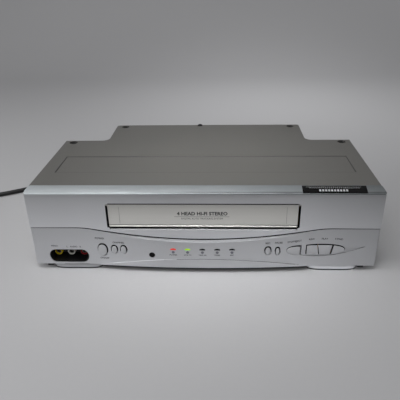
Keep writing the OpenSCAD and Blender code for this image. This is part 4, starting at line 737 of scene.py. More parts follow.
def repeated(name, model, material, start=(0, 0, 0), step=(0, 0, 0), count=0, points=(), turn=(0, 0, 0)):
    """Runs the repeat tree on a throwaway object and keeps the result as a plain mesh; the model is removed."""
    tree = bpy.data.node_groups.get("Repeat Piece") or repeat_tree()
    carrier_mesh = bpy.data.meshes.new(name)
    carrier_mesh.from_pydata(list(points), [], [])
    carrier = put(name + "_points", carrier_mesh)
    modifier = carrier.modifiers.new("Repeat", "NODES")
    modifier.node_group = tree
    values = {"Piece": model, "Count": count, "Start": start, "Step": step, "Turn": turn,
              "Finish": MATERIALS[material]}
    for item in tree.interface.items_tree:
        if item.item_type == "SOCKET" and item.in_out == "INPUT" and item.name in values:
            modifier[item.identifier] = values[item.name]
    bpy.context.view_layer.update()
    made = evaluated(carrier)
    made.name = name
    for old in (carrier, model):
        bpy.data.objects.remove(old)
    return put(name, made)


# ---- The stage

class RECORDER_OT_stage(bpy.types.Operator):
    """Pale studio floor and backdrop, soft lights and the photograph's camera"""
    bl_idname = "recorder.stage"
    bl_label = "Stage"

    def execute(self, context):
        settings = context.scene.recorder_stage
        context.scene.view_settings.view_transform = "Standard"
        self.camera(context)
        self.floor(settings)
        for name, place, aim, size, spread, share in LIGHTS:
            power = settings.key_power if spread == 180 else settings.pool_power
            self.light(name, place, aim, size, spread, power * share)
        world = bpy.data.worlds.new("room")
        context.scene.world = world
        world.use_nodes = True
        sky = world.node_tree.nodes["Background"].inputs
        sky["Color"].default_value = rgba(linear("FFFFFF"))
        sky["Strength"].default_value = settings.sky
        return {"FINISHED"}

    def camera(self, context):
        camera = put("camera", bpy.data.cameras.new("camera"))
        context.scene.camera = camera
        camera.data.lens = CAMERA_LENS
        camera.data.sensor_width = 36
        across = Vector((math.cos(CAMERA_TURN), -math.sin(CAMERA_TURN), 0))
        ahead = Vector((math.sin(CAMERA_TURN), math.cos(CAMERA_TURN), 0))
        forward = ahead * math.cos(CAMERA_DOWN) - Vector((0, 0, 1)) * math.sin(CAMERA_DOWN)
        upright = ahead * math.sin(CAMERA_DOWN) + Vector((0, 0, 1)) * math.cos(CAMERA_DOWN)
        right = across * math.cos(CAMERA_ROLL) - upright * math.sin(CAMERA_ROLL)
        up = across * math.sin(CAMERA_ROLL) + upright * math.cos(CAMERA_ROLL)
        turn = Matrix((right, up, -forward)).transposed().to_4x4()
        camera.matrix_world = Matrix.Translation(CAMERA_AT) @ turn

    def floor(self, settings):
        """A sheet of paper, matte and faintly fibrous, that lies flat and sweeps up far behind the recorder."""
        bend = PAPER_BACK - PAPER_SWEEP
        profile = [(-PAPER_HALF, 0.0), (bend, 0.0)]
        profile += [(bend + PAPER_SWEEP * math.sin(a), PAPER_SWEEP - PAPER_SWEEP * math.cos(a))
                    for a in (math.radians(d) for d in range(6, 91, 6))]
        profile.append((PAPER_BACK, PAPER_TOP))
        bm = bmesh.new()
        rows = [[bm.verts.new((x, y, z)) for x in (-PAPER_HALF, PAPER_HALF)] for y, z in profile]
        for near, far in zip(rows, rows[1:]):
            bm.faces.new((near[0], near[1], far[1], far[0]))
        MATERIALS["paper"] = grained("studio_paper", settings.floor, 0.004, 0.015, None, 0.00003, Roughness=0.85)
        new_piece(bm, "studio_floor", "paper", 180)

    def light(self, name, place, aim, size, spread, power):
        lamp = bpy.data.lights.new(name, "AREA")
        lamp.energy = power
        lamp.size = size
        lamp.spread = math.radians(spread)
        holder = put(name, lamp)
        towards = Vector(aim) - Vector(place)
        holder.matrix_world = Matrix.Translation(place) @ towards.to_track_quat("-Z", "Y").to_matrix().to_4x4()


# ---- The mains lead

def between(points, i, t):
    """Catmull-Rom point between points[i] and points[i + 1]."""
    a, b, c, d = (Vector(points[max(0, min(j, len(points) - 1))]) for j in (i - 1, i, i + 1, i + 2))
    return 0.5 * (2 * b + (c - a) * t + (2 * a - 5 * b + 4 * c - d) * t * t + (3 * b - a - 3 * c + d) * t ** 3)


def coil_point(t):
    """Round the coil: in along the floor, up where it reverses, and out again on top."""
    radius = COIL_OUT - COIL_STEP * (t if t < COIL_TURNS + 0.25 else 2 * COIL_TURNS + 0.5 - t)
    s = min(max((t - COIL_TURNS) / 0.5, 0), 1)
    a = math.radians(90 + 360 * t)
    start = LEAD_POINTS[-1]
    return Vector((start[0] + radius * math.cos(a), start[1] - COIL_OUT + radius * math.sin(a),
                   CORD_D / 2 + COIL_STEP * s * s * (3 - 2 * s)))


def lead_route():
    route = [between(LEAD_POINTS, i, t) for i in range(len(LEAD_POINTS) - 1) for t in (0, 0.5)]
    last = 2 * COIL_TURNS + 0.25
    route += [coil_point(i / COIL_RINGS) for i in range(int(last * COIL_RINGS) + 1)]
    end = coil_point(last)
    return route + [Vector((end[0], end[1] - run, up)) for run, up in TAIL_RUNS]


class RECORDER_OT_lead(bpy.types.Operator):
    """Mains lead with its ribbed strain relief, coil and plug"""
    bl_idname = "recorder.lead"
    bl_label = "Mains lead"

    def execute(self, context):
        route = lead_route()
        curve = bpy.data.curves.new("mains_lead_sheath", "CURVE")
        curve.dimensions = "3D"
        curve.bevel_depth = CORD_D / 2
        curve.bevel_resolution = 5
        curve.use_fill_caps = True
        curve.materials.append(MATERIALS["vinyl"])
        spline = curve.splines.new("POLY")
        spline.points.add(len(route) - 1)
        spline.use_smooth = True
        for point, place in zip(spline.points, route):
            point.co = (*place, 1)
        lead = put("mains_lead_sheath", curve)
        stand_for(lead, "mains_lead", "lead_coil")
        plug = self.plug(route[-1])
        self.relief()
        return {"FINISHED"}

    def plug(self, at):
        return [dress("mains_plug", "vinyl", (0.0012, lambda p: p.y > at.y - 0.026, 3), name="mains_plug_body",
                      paints=(("brass", lambda c, n: c.y < at.y - BLADES_BACK),))]

    def relief(self):
        """Tapered sleeve whose ribs stand on a thinner core."""
        x, z = LEAD_POINTS[0][0], LEAD_POINTS[0][2]
        start = STEP_Y - 0.0061
        profile = [(0, 0), (0.0066, 0), (0.007, 0.0004), (0.007, 0.003), (0.0044, 0.003), (0.0044, 0.0064),
                   (0.0066, 0.0064), (0.007, 0.0068), (0.007, 0.0088), (0.0062, 0.0095), (0.0052, 0.012),
                   (0.0047, 0.020), (0.0042, 0.030), (0.0037, 0.0395), (0.0034, 0.04), (0, 0.04)]
        stand_for(turned("strain_relief_sleeve", "vinyl", profile, (x, start, z)), "strain_relief")
        rib = turned("rib_model", "vinyl", [(0.0035, -0.0008), (0.00465, -0.0008), (0.0049, -0.0005),
                                            (0.0049, 0.0005), (0.00465, 0.0008), (0.0035, 0.0008)])
        ribs = repeated("strain_relief_ribs", rib, "vinyl", start=(x, start + 0.0135, z), step=(0, 0.0034, 0), count=6)
        ride_on(ribs, "strain_relief")


# ---- The shell

class RECORDER_OT_cover(bpy.types.Operator):
    """Stepped steel cover with rolled edges, pressed rectangle, dished seats and its screws"""
    bl_idname = "recorder.cover"
    bl_label = "Cover"

    def execute(self, context):
        fold = context.scene.recorder_shell.fold_radius
        top = TOP_Z - HAIR

        def folds(p):
            return p.z > top and (abs(p.x) > COVER_OUTER or p.y > STEP_Y - 2 * HAIR) and p.y > COVER_FRONT + HAIR

        def pressed(p):
            return p.z > top - 0.0008 and not folds(p) and p.y > COVER_FRONT + 0.001

        # Painted shade in the dished screw seats
        def seat_shade(centre, _normal):
            near = any(math.hypot(centre.x - x, centre.y - y) < SEAT_RADIUS for x, y in SCREW_PLACES)
            return near and top - 0.004 < centre.z < top - 2 * HAIR

        # Painted shade: a dark half-moon on the cover over the rear screw, where the notch lies in shadow
        def notch(centre, normal):
            return normal.z > 0.2 and abs(centre.x - REAR_SCREW[0]) < NOTCH_HALF and centre.y > NOTCH_Y

        dress("top_cover", "cover", (fold, folds, 3), (0.0003, pressed, 2),
              cuts=((0, REAR_SCREW[0] - NOTCH_HALF), (0, REAR_SCREW[0] + NOTCH_HALF), (1, NOTCH_Y)),
              paints=(("seat_shade", seat_shade), ("painted_shade", notch)))
        self.screws()
        return {"FINISHED"}

    def screws(self):
        """Pan heads with a cross recess, set out by points."""
        points = [(x, y, SCREW_SEAT) for x, y in SCREW_PLACES]
        heads = repeated("cover_screw_heads", self.head(), "screw", points=points)
        stand_for(heads, "cover_screws")
        washer = [(0.0047, 0), (0.0047, 0.0006), (0.0032, 0.0010)]
        rear = repeated("rear_screw_head", self.head(washer), "screw",
                        points=[(REAR_SCREW[0], REAR_Y, REAR_SCREW[1])], turn=(-math.pi / 2, 0, 0))
        ride_on(rear, "cover_screws")

    def head(self, rim=((0.0032, 0), (0.0032, 0.0008))):
        """A screw's model; rim is the profile of the head's outer edge, wider where it carries a washer."""
        bm = lathe(bmesh.new(), [(0, -0.009), (0.0012, -0.009), (0.0015, -0.0085), (0.0015, 0), *rim,
                                 (0.0029, 0.0014), (0.0022, 0.0018), (0.0018, 0.0019), (0, 0.0019)],
                   (0, 0, 0), "Z", 32)
        head = new_piece(closed(bm), "screw_model", "screw")
        bm = bmesh.new()
        for turn in (0, math.pi / 2):
            bmesh.ops.create_cube(bm, size=1, matrix=Matrix.Translation((0, 0, 0.0019)) @ Matrix.Rotation(turn, 4, "Z")
                                  @ Matrix.Diagonal((0.0038, 0.0008, 0.0022, 1)))
        cutter = new_piece(bm, "recess_model", "screw")
        cut = head.modifiers.new("Recess", "BOOLEAN")
        cut.operation = "DIFFERENCE"
        cut.object = cutter
        cut.use_self = True
        mesh = evaluated(head)
        head.modifiers.clear()
        head.data = mesh
        bpy.data.objects.remove(cutter)
        return head


class RECORDER_OT_front(bpy.types.Operator):
    """Upper moulding, bulging panel, cassette door and the bare plate on the nose"""
    bl_idname = "recorder.front"
    bl_label = "Front"

    def execute(self, context):
        edge = context.scene.recorder_shell.edge_radius
        outside = (edge, lambda p: p.y < FACE_Y + OUTER_EDGE, 3)
        self.upper_moulding(outside)
        self.panel(outside)
        self.door()
        self.plate()
        return {"FINISHED"}

    def upper_moulding(self, outside):
        def opened(x, y, z):
            """Widens the door's opening, and the seam by lifting the lower edge of the moulding."""
            if abs(abs(x) - DOOR_HALF) < OPENING_EDGE and DOOR_LOW - OPENING_MARGIN < z < DOOR_TOP + OPENING_MARGIN:
                return x + (-DOOR_WIDER[0] if x < 0 else DOOR_WIDER[1]), y, z
            on_seam = z < DOOR_LOW - SEAM_CLEAR[1] or (z < SEAM_EDGE and abs(x) > DOOR_HALF + SEAM_CLEAR[0])
            share = min(1.0, max(0.0, (SEAM_FADE[0] - abs(x)) / SEAM_FADE[1]))
            lift = SEAM_LIFT[0] + (SEAM_LIFT[1] - SEAM_LIFT[0]) * share
            return x, y, z + lift if on_seam and y < FACE_Y + SKIN else z

        # The nose and the lip take their own lacquers, whose tones are painted light and shade: a painted highlight on
        # the left that fades to the right
        def nose(centre, normal):
            return centre.z > NOSE_LOW and normal.z > NOSE_SLOPE and centre.y < COVER_FRONT + 2 * HAIR

        def lip(centre, normal):
            return nose(centre, normal) and normal.z < LIP_SLOPE

        # Painted shade: black on the walls of the door's opening
        def tunnel(centre, normal):
            inside = (abs(centre.x) < DOOR_HALF + OPENING_MARGIN
                      and DOOR_LOW - OPENING_MARGIN < centre.z < DOOR_TOP + OPENING_MARGIN)
            return inside and abs(normal.y) < FACING and centre.y > FACE_Y + HAIR

        # Painted shade: black on the moulding's lower edge along the seam
        def under_seam(centre, normal):
            return normal.z < -0.25 and centre.z < SEAM_TOP and centre.y < FACE_Y + 0.004

        # Painted shade: the sill's slope darker, and its upper strip black
        def sill(centre, normal):
            return (normal.z > SLOPED and normal.y < -SLOPED and abs(centre.x) < DOOR_HALF
                    and SILL_LOW < centre.z < DOOR_LOW)

        def sill_top(centre, normal):
            return sill(centre, normal) and centre.z > DOOR_LOW - SILL_SHADE

        dress("front_bezel", "front", outside, cuts=((2, DOOR_LOW - SILL_SHADE),), bend=opened,
              paints=(("nose", nose), ("lip", lip), ("painted_shade", tunnel), ("painted_shade", under_seam), ("front_shade", sill),
                      ("painted_shade", sill_top)))

    def panel(self, outside):
        def shaped(x, y, z):
            """Brings the panel's foot down to the photograph's line and closes the lamps' openings in height."""
            if z < PANEL_LOW + 2 * HAIR:
                z -= PANEL_DROP
            elif x < RECESS_RIGHT:
                x, z = round_recess(x, z)
            elif abs(x) < LAMP_REACH and LAMP_LOW - LAMP_MARGIN < z < LAMP_HIGH:
                z = LAMP_LOW + (z - LAMP_LOW) * LAMP_SHARE
            return x, y, z

        def crescent(p):
            return p.y < panel_y(p.x) - CRESCENT_RISE and p.z > CRESCENT_LOW

        def crescent_edge(centre, normal):
            """The crescent's rounded upper edge."""
            return (CRESCENT_SLOPE[0] < normal.z < CRESCENT_SLOPE[1] and centre.z > CRESCENT_LOW + 0.001
                    and centre.y < panel_y(centre.x) - CRESCENT_RISE / 2)

        # Painted shade: black on the walls of the key, lamp and window openings
        def wells(centre, normal):
            near = any(abs(centre.x - x) < w + WELL_MARGIN and abs(centre.z - z) < h + WELL_MARGIN
                       for x, z, w, h in WELLS)
            return near and abs(normal.y) < STEEP and normal.z < 0.35 and centre.y > panel_y(centre.x) + HAIR

        # Painted shade: black on the shelf behind the seam
        def seam_shelf(centre, normal):
            return normal.z > STEEP and centre.z > BULGE_TOP and centre.y > FACE_Y

        # Painted light: the bulge's top a lighter copy of the lacquer
        def bulge_top(centre, normal):
            return normal.z > FACING and centre.z > BULGE_TOP and centre.y < FACE_Y

        # Painted shade: the scoop's lower wall darker
        def scoop_wall(centre, normal):
            return normal.z > SLOPED and centre.x > SCOOP_LEFT and SCOOP_LOW < centre.z < SCOOP_TOP

        # Painted highlight along the left of the recess's lower rim
        def recess_rim(centre, normal):
            return (normal.z > LEANING and centre.z < RECESS_LOW + 2 * HAIR and centre.y < FACE_Y + 5 * HAIR
                    and RECESS_RIM[0] < centre.x < RECESS_RIM[1])

        # The crescent's edge carries a painted highlight on the left and painted shade further right
        dress("control_panel", "panel", (0.00045, crescent, 2), outside, cuts=((1, FACE_Y + HAIR),), bend=shaped,
              paints=(("painted_shade", wells), ("painted_shade", seam_shelf),
                      ("bright_edge", lambda c, n: crescent_edge(c, n) and c.x < CRESCENT_HIGHLIGHT_END),
                      ("dull_edge", lambda c, n: crescent_edge(c, n) and c.x >= CRESCENT_SHADE_START),
                      ("shelf", bulge_top), ("front_shade", scoop_wall), ("bright_edge", recess_rim)))

    def door(self):
        """The door with its bead, groove and upright marks, and the two lines of words on it."""
        def drawn_in(x, y, z):
            """Shrinks the door's face, so that the gap round it is as wide as in life; painted shade on its walls
            makes it as dark.
            """
            if y > FACE_Y + DOOR_DEPTH:
                return x, y, z
            return x * DOOR_SHRINK[0 if x < 0 else 1], y, DOOR_MIDDLE + (z - DOOR_MIDDLE) * DOOR_SHRINK[2]

        # Painted shade: black on the door's sides and in its groove, and darker in its upright marks
        def side(centre, normal):
            return abs(normal.y) < LEANING and centre.y > DOOR_FACE + 3 * HAIR and centre.z > BEAD_TOP + 0.001

        def groove(centre, _normal):
            return BEAD_TOP < centre.z < BEAD_TOP + GROOVE and centre.y < FACE_Y + SKIN

        def mark(centre, _normal):
            return (abs(abs(centre.x) - DOOR_MARK_X) < DOOR_MARK_HALF and centre.y < FACE_Y + SKIN
                    and centre.z > DOOR_MARK_LOW)

        # Painted highlight along the bead
        def bead(centre, normal):
            return centre.z < BEAD_TOP and normal.z > -0.5 and centre.y < FACE_Y + 0.001

        def face(_x, _z):
            return DOOR_FACE

        dress("cassette_door", "door", (0.00025, lambda p: p.y < FACE_Y + 0.0015, 2), bend=drawn_in,
              paints=(("painted_shade", side), ("painted_shade", groove), ("dull_edge", mark), ("bead", bead)))
        lettering("door_words", [("4 HEAD HI-FI STEREO", -0.0003, 0.0668, 0.0054, 0)], face, "cassette_door", 0.035)
        lettering("door_line", [("DIGITAL AUTO TRACKING SYSTEM", -0.0006, 0.0612, 0.0027, 0)], face,
                  "cassette_door", 0.0)
        rule = bmesh.new()
        prism(rule, bar(-0.0008, 0.0635, 0.056, 0.0003), lambda x, z: face(x, z) - 0.00005,
              lambda x, z: face(x, z) + 0.0001)
        ride_on(new_piece(closed(rule), "door_rule", "ink", 20), "cassette_door")

    def plate(self):
        """The bare plate with its rows of light dashes."""
        def longer(x, y, z):
            """Brings the plate's lower edge down the nose to the lip."""
            if y > PLATE_LOW:
                return x, y, z
            return x, y - PLATE_REACH, z + nose_z(y - PLATE_REACH) - nose_z(y)

        dress("service_plate", "plate", bend=longer)
        for row, (first, last, pitch, width, low, high) in enumerate(PLATE_ROWS):
            bm = bmesh.new()
            corners = [(x, y, nose_z(y)) for x, y in ((0, low), (width, low), (width, high), (0, high))]
            upper, lower = ([bm.verts.new((x, y, z + lift)) for x, y, z in corners] for lift in PRINT_LIFT)
            bm.faces.new(upper)
            bm.faces.new(lower[::-1])
            ring_faces(bm, lower, upper)
            ride_on(repeated("plate_dashes_%d" % row, new_piece(bm, "dash_model", "plate_print"), "plate_print",
                             start=(first, 0, 0), step=(pitch, 0, 0), count=round((last - first) / pitch)),
                    "service_plate")


def round_recess(x, z):
    """A point of the sockets' recess, whose lower edge comes down and whose corners become rounder."""
    across, up = x - RECESS_X, z - RECESS_Z
    if abs(across) > RECESS_HALF[0] + RECESS_MARGIN or abs(up) > RECESS_HALF[1] + RECESS_MARGIN:
        return x, z
    over = abs(across) - (RECESS_HALF[0] - RECESS_CORNER)
    above = abs(up) - (RECESS_HALF[1] - RECESS_CORNER)
    reach = math.hypot(over, above)
    if over > -TOUCH and above > -TOUCH and reach > RECESS_CORNER - 0.0006:
        slack = RECESS_ROUNDER - RECESS_CORNER
        across = math.copysign(abs(across) - slack + slack * over / reach, across)
        up = math.copysign(abs(up) - slack + slack * above / reach, up)
    return RECESS_X + across, RECESS_Z + up - RECESS_DROP * max(0.0, -up / RECESS_HALF[1])


def nose_z(y):
    """Height of the nose between the cover's edge and the lip."""
    s = (COVER_FRONT - y) / NOSE_DEPTH
    return TOP_Z - NOSE_FALL * (0.4 * s + 0.6 * s * s)


# ---- Keys, lamps and their small printed signs

def crowned(node, edge, crown, side_gap, top_gap, lean):
    """A key whose flat front face is rebuilt with a rounded edge and a low crown.

    The cap is drawn in at its sides and top and moved by `lean`, so that the gap round it is as wide as in life, and
    painted shade on its side walls makes it as dark. The splits on both sides of the play key are slanted."""
    bm = merged_copy(node)
    front = min(v.co.y for v in bm.verts)
    faces = [f for f in bm.faces if f.normal.y < -0.99 and all(v.co.y < front + TOUCH for v in f.verts)]
    bmesh.ops.delete(bm, geom=faces, context="FACES_ONLY")
    rounding = [(edge * (1 - math.cos(a)), edge * (1 - math.sin(a))) for a in map(math.radians, (30, 60, 90))]
    for loop in front_loops(bm, front):
        centre = sum((v.co for v in loop), Vector()) / len(loop)
        inner = loop
        base = [v.co.copy() for v in loop]
        for vert in loop:
            vert.co.y = front + crown + edge
        for inset, back in rounding:
            inner = next_ring(bm, inner, base, centre, lambda d, i=inset: max(0.2, 1 - i / d), front + crown + back)
        for share in (0.75, 0.5, 0.25):
            inner = next_ring(bm, inner, base, centre, lambda d, k=share: k * (1 - edge / d),
                              front + crown * share * share)
        tip = bm.verts.new((centre.x, front, centre.z))
        for i, vert in enumerate(inner):
            bm.faces.new((vert, inner[(i + 1) % len(inner)], tip))
    closed(bm)
    cap = [v for v in bm.verts if v.co.y < front + CAP_DEPTH]
    low, high = min(v.co.z for v in cap), max(v.co.z for v in cap)
    left, right = min(v.co.x for v in cap), max(v.co.x for v in cap)
    for vert in cap:
        vert.co.x += ((left + right) / 2 - vert.co.x) * 2 * side_gap / (right - left) + lean
        for place, slant in SPLITS:
            vert.co.x += slant * max(0.0, 1 - abs(vert.co.x - place) / SPLIT_REACH) * (vert.co.z - KEY_Z)
        vert.co.z += (low - vert.co.z) * top_gap / (high - low)
    piece = new_piece(bm, node + "_cap", "key", 50)
    # Painted shade: black on the cap's side walls, so that the gap round it reads dark
    paint(piece, "painted_shade", lambda c, n: c.y > front + crown + edge * 0.9 and n.y > -0.65 and n.z > -0.6)
    return stand_for(piece, node)


def front_loops(bm, front):
    """The open loops of vertices that the deleted front faces leave, each in order."""
    # A dict keeps the edges in the mesh's order, so that every run starts each loop at the same vertex
    edges = dict.fromkeys(e for e in bm.edges if len(e.link_faces) == 1
                          and all(abs(v.co.y - front) < TOUCH for v in e.verts))
    loops = []
    while edges:
        edge = next(iter(edges))
        del edges[edge]
        start, vert = edge.verts
        loop = [start]
        while vert is not start:
            loop.append(vert)
            edge = next(e for e in vert.link_edges if e in edges)
            del edges[edge]
            vert = edge.other_vert(vert)
        loops.append(loop)
    return loops


def next_ring(bm, outer, base, centre, share, y):
    """A smaller ring inside `outer`, bridged to it; `share` gives how much of each spoke is left."""
    ring = []
    for place in base:
        spoke = Vector((place.x - centre.x, 0, place.z - centre.z))
        at = Vector((centre.x, y, centre.z)) + spoke * share(spoke.length)
        ring.append(bm.verts.new(at))
    ring_faces(bm, outer, ring)
    return ring


def bar(cx, cz, w, h):
    return [(cx - w / 2, cz - h / 2), (cx + w / 2, cz - h / 2), (cx + w / 2, cz + h / 2), (cx - w / 2, cz + h / 2)]


def lettering(name, words, surface, node, weight=0.015, ink="ink", turn=0.0):
    """Small plain words in ink: each is (text, x, z, letter size, tilt in degrees), laid on a surface.

    `weight` thickens the strokes by a share of the letter size; `turn` of half a circle faces them rearwards."""
    bm = bmesh.new()
    for text, x, z, size, tilt in words:
        font = bpy.data.curves.new("word", "FONT")
        font.body = text
        font.size = size
        font.align_x = "CENTER"
        font.align_y = "CENTER"
        font.resolution_u = 2
        font.extrude = INK_HALF
        font.offset = size * weight
        word = bpy.data.objects.new("word", font)
        mesh = bpy.data.meshes.new_from_object(word)
        mesh.transform(Matrix.Translation((x, 0, z)) @ Matrix.Rotation(turn, 4, "Z")
                       @ Matrix.Rotation(math.radians(-tilt), 4, "Y") @ Matrix.Rotation(math.pi / 2, 4, "X"))
        for vert in mesh.vertices:
            vert.co.y += surface(vert.co.x, vert.co.z)
        bm.from_mesh(mesh)
        bpy.data.meshes.remove(mesh)
        bpy.data.objects.remove(word)
        bpy.data.curves.remove(font)
    bmesh.ops.remove_doubles(bm, verts=bm.verts, dist=1e-7)
    return ride_on(new_piece(bm, name, ink, 20), node)


class RECORDER_OT_keys(bpy.types.Operator):
    """Nine crowned keys and the small signs above them"""
    bl_idname = "recorder.keys"
    bl_label = "Keys"

    def execute(self, context):
        keys = context.scene.recorder_keys
        for node, side, top, lean in KEY_GAPS:
            crowned(node, keys.edge, keys.crown, side, top, lean)
        words = [("POWER", -0.1081, 0.0384, 0.0029, 0), ("ON/OFF", -0.1047, 0.0144, 0.0027, 0),
                 ("CHANNEL", -0.0883, 0.0343, 0.0027, 0), ("REC", 0.0668, 0.0352, 0.0028, 0),
                 ("PAUSE", 0.0779, 0.0354, 0.0028, 0), ("STOP/EJECT", 0.0941, 0.0364, 0.0028, 6),
                 ("REW", 0.1117, 0.0383, 0.0028, 2), ("PLAY", 0.1250, 0.0386, 0.0028, 0),
                 ("F.FWD", 0.1395, 0.0382, 0.0028, -4)]
        lettering("key_words", words, panel_y, "control_panel", 0.02)
        return {"FINISHED"}


class RECORDER_OT_lamps(bpy.types.Operator):
    """Half-moon lamp lenses, the round receiver window and the marks under the lamps"""
    bl_idname = "recorder.lamps"
    bl_label = "Lamps"

    def execute(self, context):
        def lower(x, y, z):
            return x, y, LAMP_LOW + (z - LAMP_LOW) * LAMP_SHARE if abs(x) < LAMP_REACH else z

        for node, material in (("lens_red", "lit_red"), ("lens_green", "lit_green"), ("dark_windows", "dark_lens")):
            dress(node, material, (0.0002, lambda p: p.y < FACE_Y, 2), bend=lower)
        bm = bmesh.new()
        angles = [math.tau * i / 20 for i in range(20)]
        prism(bm, [(0.0016 * math.cos(a), 0.0016 * math.sin(a)) for a in angles], lambda x, z: -0.00006,
              lambda x, z: 0.0002)
        model = new_piece(closed(bm), "mark_model", "pale_ink", 20)
        marks = repeated("lamp_marks", model, "pale_ink", points=[(x, panel_y(x), 0.0247) for x in LAMP_XS])
        ride_on(marks, "control_panel")
        names = ("POWER", "VCR/TV", "TAPE IN", "TIMER", "REC")
        words = [(text, x, 0.0213, 0.0023, 0) for text, x in zip(names, LAMP_XS)]
        lettering("lamp_words", words, panel_y, "control_panel")
        return {"FINISHED"}


# ---- Sockets

class RECORDER_OT_sockets(bpy.types.Operator):
    """Front and rear phono sockets, aerial sockets and their black blocks"""
    bl_idname = "recorder.sockets"
    bl_label = "Sockets"

    def execute(self, context):
        def deepened(x, y, z):
            if y < RECESS_BACK:
                x, z = round_recess(x, z)
            return x, y, z

        # Painted shade: black on the recess's walls near the front, where the deep recess is in shadow
        dress("front_socket_block", "deep_black", paints=(("painted_shade", lambda c, n: c.y < FACE_Y + SKIN),),
              bend=deepened)
        # The collars' colours are set darker as painted shade of the deep recess
        for (node, x), tint in zip(JACK_XS.items(), ("yellow", "white", "red")):
            stand_for(self.collar(node + "_collar", tint, (x, JACK_BACK, JACK_Z)), node)
        # The contacts take a darker plate as painted shade inside the sockets
        contact = turned("contact_model", "nickel", [
            (0.0017, -0.003), (0.0026, -0.003), (0.0026, -0.0068), (0.0024, -0.0071), (0.0019, -0.0071),
            (0.0017, -0.0068), (0.0017, -0.003)], merge=1e-6)
        points = [(x, JACK_BACK, JACK_Z) for x in JACK_XS.values()]
        ride_on(repeated("front_socket_contacts", contact, "contact", points=points), "video_in_front")
        self.rear()
        words = [("VIDEO", -0.1575, 0.0284, 0.0025, 0), ("L", -0.1440, 0.0276, 0.0025, 0),
                 ("AUDIO", -0.1370, 0.0275, 0.0025, 0), ("R", -0.1300, 0.0274, 0.0025, 0)]
        lettering("socket_words", words, panel_y, "control_panel")
        return {"FINISHED"}

    def collar(self, name, tint, at):
        """Coloured plastic collar round a phono socket's metal sleeve; its profile is (radius, distance forwards)."""
        profile = [(0.0024, -0.006), (0.0024, 0), (0.00415, 0), (0.00415, 0.0075), (0.0038, 0.008), (0.0031, 0.008),
                   (0.0029, 0.0076), (0.0029, 0.004), (0.0016, 0.004), (0.0016, -0.006), (0.0024, -0.006)]
        return turned(name, tint, [(radius, -ahead) for radius, ahead in profile], at, 1e-6)

    def rear(self):
        dress("rear_phono_sockets", "black", (0.0002, lambda p: p.y > REAR_Y, 2))
        words = [("VIDEO", 0.066, 0.0665, 0.0028, 0), ("R - AUDIO - L", 0.042, 0.0665, 0.0028, 0),
                 ("IN", 0.0245, 0.058, 0.0030, 0), ("OUT", 0.0235, 0.042, 0.0030, 0),
                 ("ANT IN", 0.0925, 0.0730, 0.0028, 0), ("TO TV", 0.0925, 0.0318, 0.0028, 0)]
        lettering("rear_words", words, lambda x, z: REAR_FACE, "rear_panel", 0.02, "plate_print", math.pi)
        for tint, x in REAR_JACKS.items():
            ring = turned("collar_model", tint, [
                (0.0030, 0.0070), (0.0030, 0.0078), (0.0040, 0.0078), (0.0042, 0.0074), (0.0042, 0.0005),
                (0.00415, 0.0005), (0.00415, 0.0070), (0.0030, 0.0070)], merge=1e-6)
            points = [(x, REAR_Y - HAIR, z) for z in REAR_JACK_ZS]
            ride_on(repeated("rear_collars_" + tint, ring, tint, points=points), "rear_phono_sockets")
        dress("aerial_sockets", "nickel", (0.0003, None, 2))
        for number, (x, z) in enumerate(AERIALS):
            thread = turned("thread_model", "nickel", [(0.0046, -0.0003), (0.0050, 0), (0.0046, 0.0003)])
            ride_on(repeated("aerial_thread_%d" % number, thread, "nickel", start=(x, REAR_Y + 0.0012, z),
                             step=(0, 0.0008, 0), count=10), "aerial_sockets")


# ---- Chassis, rear and feet

class RECORDER_OT_chassis(bpy.types.Operator):
    """Black tray, rear panel, feet and their rubber"""
    bl_idname = "recorder.chassis"
    bl_label = "Chassis and feet"

    def execute(self, context):
        def forward(x, y, z):
            """Brings the strip under the front forward and down a little, so that it closes the panel's foot."""
            if y > STRIP_FRONT:
                return x, y, z
            past = abs(x) - FOOT_X[1]
            if abs(past) < FOOT_HALF:
                x = math.copysign(FOOT_X[1] + math.copysign(FOOT_HALF, past), x)
            return x, y - STRIP_SHIFT[0], z - STRIP_SHIFT[1] if z < 0.006 else z

        # Painted shade: black on the strip under the front, where shade falls under the panel
        dress("chassis_base", "chassis", (0.0003, lambda p: p.z < 0.008 and p.y > STRIP_FRONT, 2), bend=forward,
              paints=(("painted_shade", lambda c, n: c.y < STRIP_FRONT),))
        dress("rear_panel", "chassis", (0.0003, lambda p: p.y > REAR_Y - 0.003, 2))

        def wider(x, y, z):
            """Draws the front feet out sideways to the width that the photograph shows."""
            return math.copysign(FOOT_X[1] + (abs(x) - FOOT_X[0]) * FOOT_WIDEN, x), y, z

        def pad(x, y, z):
            """Spreads the front feet's rubber to their edge, where it shows as a dark line."""
            if y > 0:
                return x, y, z
            across = math.copysign(FOOT_X[1] + (abs(x) - FOOT_X[0]) * PAD_WIDEN[0], x)
            return across, FOOT_Y + (y - FOOT_Y) * PAD_WIDEN[1], z

        dress("front_feet", "foot", (0.0006, lambda p: p.z < 0.0015, 3), (0.0004, lambda p: p.z > 0.006, 2),
              bend=wider)
        dress("rear_feet", "black", (0.0012, lambda p: p.z < 0.002, 3))
        dress("foot_pads", "rubber", (0.0002, None, 2), bend=pad)
        return {"FINISHED"}


# ---- What the lid hides

class RECORDER_OT_inside(bpy.types.Operator):
    """Boards, switches, transformer, heat sink, capacitors and tuner"""
    bl_idname = "recorder.inside"
    bl_label = "Boards"

    def execute(self, context):
        for node, material in (("front_board", "board"), ("main_board", "board"), ("tact_switches", "switch"),
                               ("power_transformer", "core"), ("heat_sink", "fins"), ("tuner_can", "tin")):
            dress(node, material)
        dress("filter_capacitors", "sleeve", (0.0008, lambda p: p.z > 0.02, 2))
        return {"FINISHED"}


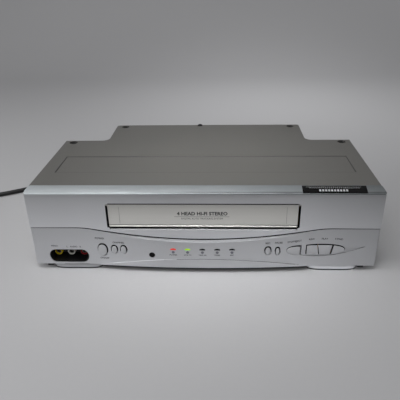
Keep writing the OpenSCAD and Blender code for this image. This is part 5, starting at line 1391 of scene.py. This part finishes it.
class RECORDER_OT_deck(bpy.types.Operator):
    """Tape deck, carriage, drum, capstan and reels"""
    bl_idname = "recorder.deck"
    bl_label = "Tape deck"

    def execute(self, context):
        finishes = {
            "zinc": ("deck_plate", "carriage_brackets", "carriage_slide", "cassette_holder", "idler_arm",
                     "pinch_arm"),
            "drum": ("lower_drum", "upper_drum"),
            "motor": ("drum_motor", "capstan_motor"),
            "steel": ("capstan", "tape_heads", "guide_block_supply", "guide_block_takeup"),
            "acetal": ("drive_pulley", "supply_reel_table", "takeup_reel_table"),
            "rubber": ("drive_belt", "idler_wheel", "pinch_roller"),
        }
        for material, nodes in finishes.items():
            for node in nodes:
                dress(node, material)
        return {"FINISHED"}


# ---- Panel and registration

STEPS = (RECORDER_OT_stage, RECORDER_OT_lead, RECORDER_OT_cover, RECORDER_OT_front, RECORDER_OT_keys,
         RECORDER_OT_lamps, RECORDER_OT_sockets, RECORDER_OT_chassis, RECORDER_OT_inside, RECORDER_OT_deck)
GROUPS = {"recorder_shell": RecorderShellSettings, "recorder_keys": RecorderKeySettings,
          "recorder_lamps": RecorderLampSettings, "recorder_stage": RecorderStageSettings}


class RECORDER_PT_build(bpy.types.Panel):
    """Lists the steps and the settings"""
    bl_idname = "RECORDER_PT_build"
    bl_label = "Recorder"
    bl_space_type = "VIEW_3D"
    bl_region_type = "UI"
    bl_category = "Recorder"

    def draw(self, context):
        for group in GROUPS:
            box = self.layout.box()
            settings = getattr(context.scene, group)
            for name in settings.bl_rna.properties.keys():
                if name not in ("rna_type", "name"):
                    box.prop(settings, name)
        for step in STEPS:
            self.layout.operator(step.bl_idname)


def register():
    for group, kind in GROUPS.items():
        bpy.utils.register_class(kind)
        setattr(bpy.types.Scene, group, bpy.props.PointerProperty(type=kind))
    for kind in (*STEPS, RECORDER_PT_build):
        bpy.utils.register_class(kind)


def unregister():
    for kind in (RECORDER_PT_build, *reversed(STEPS)):
        bpy.utils.unregister_class(kind)
    for group, kind in reversed(GROUPS.items()):
        delattr(bpy.types.Scene, group)
        bpy.utils.unregister_class(kind)


def main():
    register()
    make_materials()
    for step in STEPS:
        area, name = step.bl_idname.split(".")
        getattr(getattr(bpy.ops, area), name)()


if __name__ == "__main__":
    main()
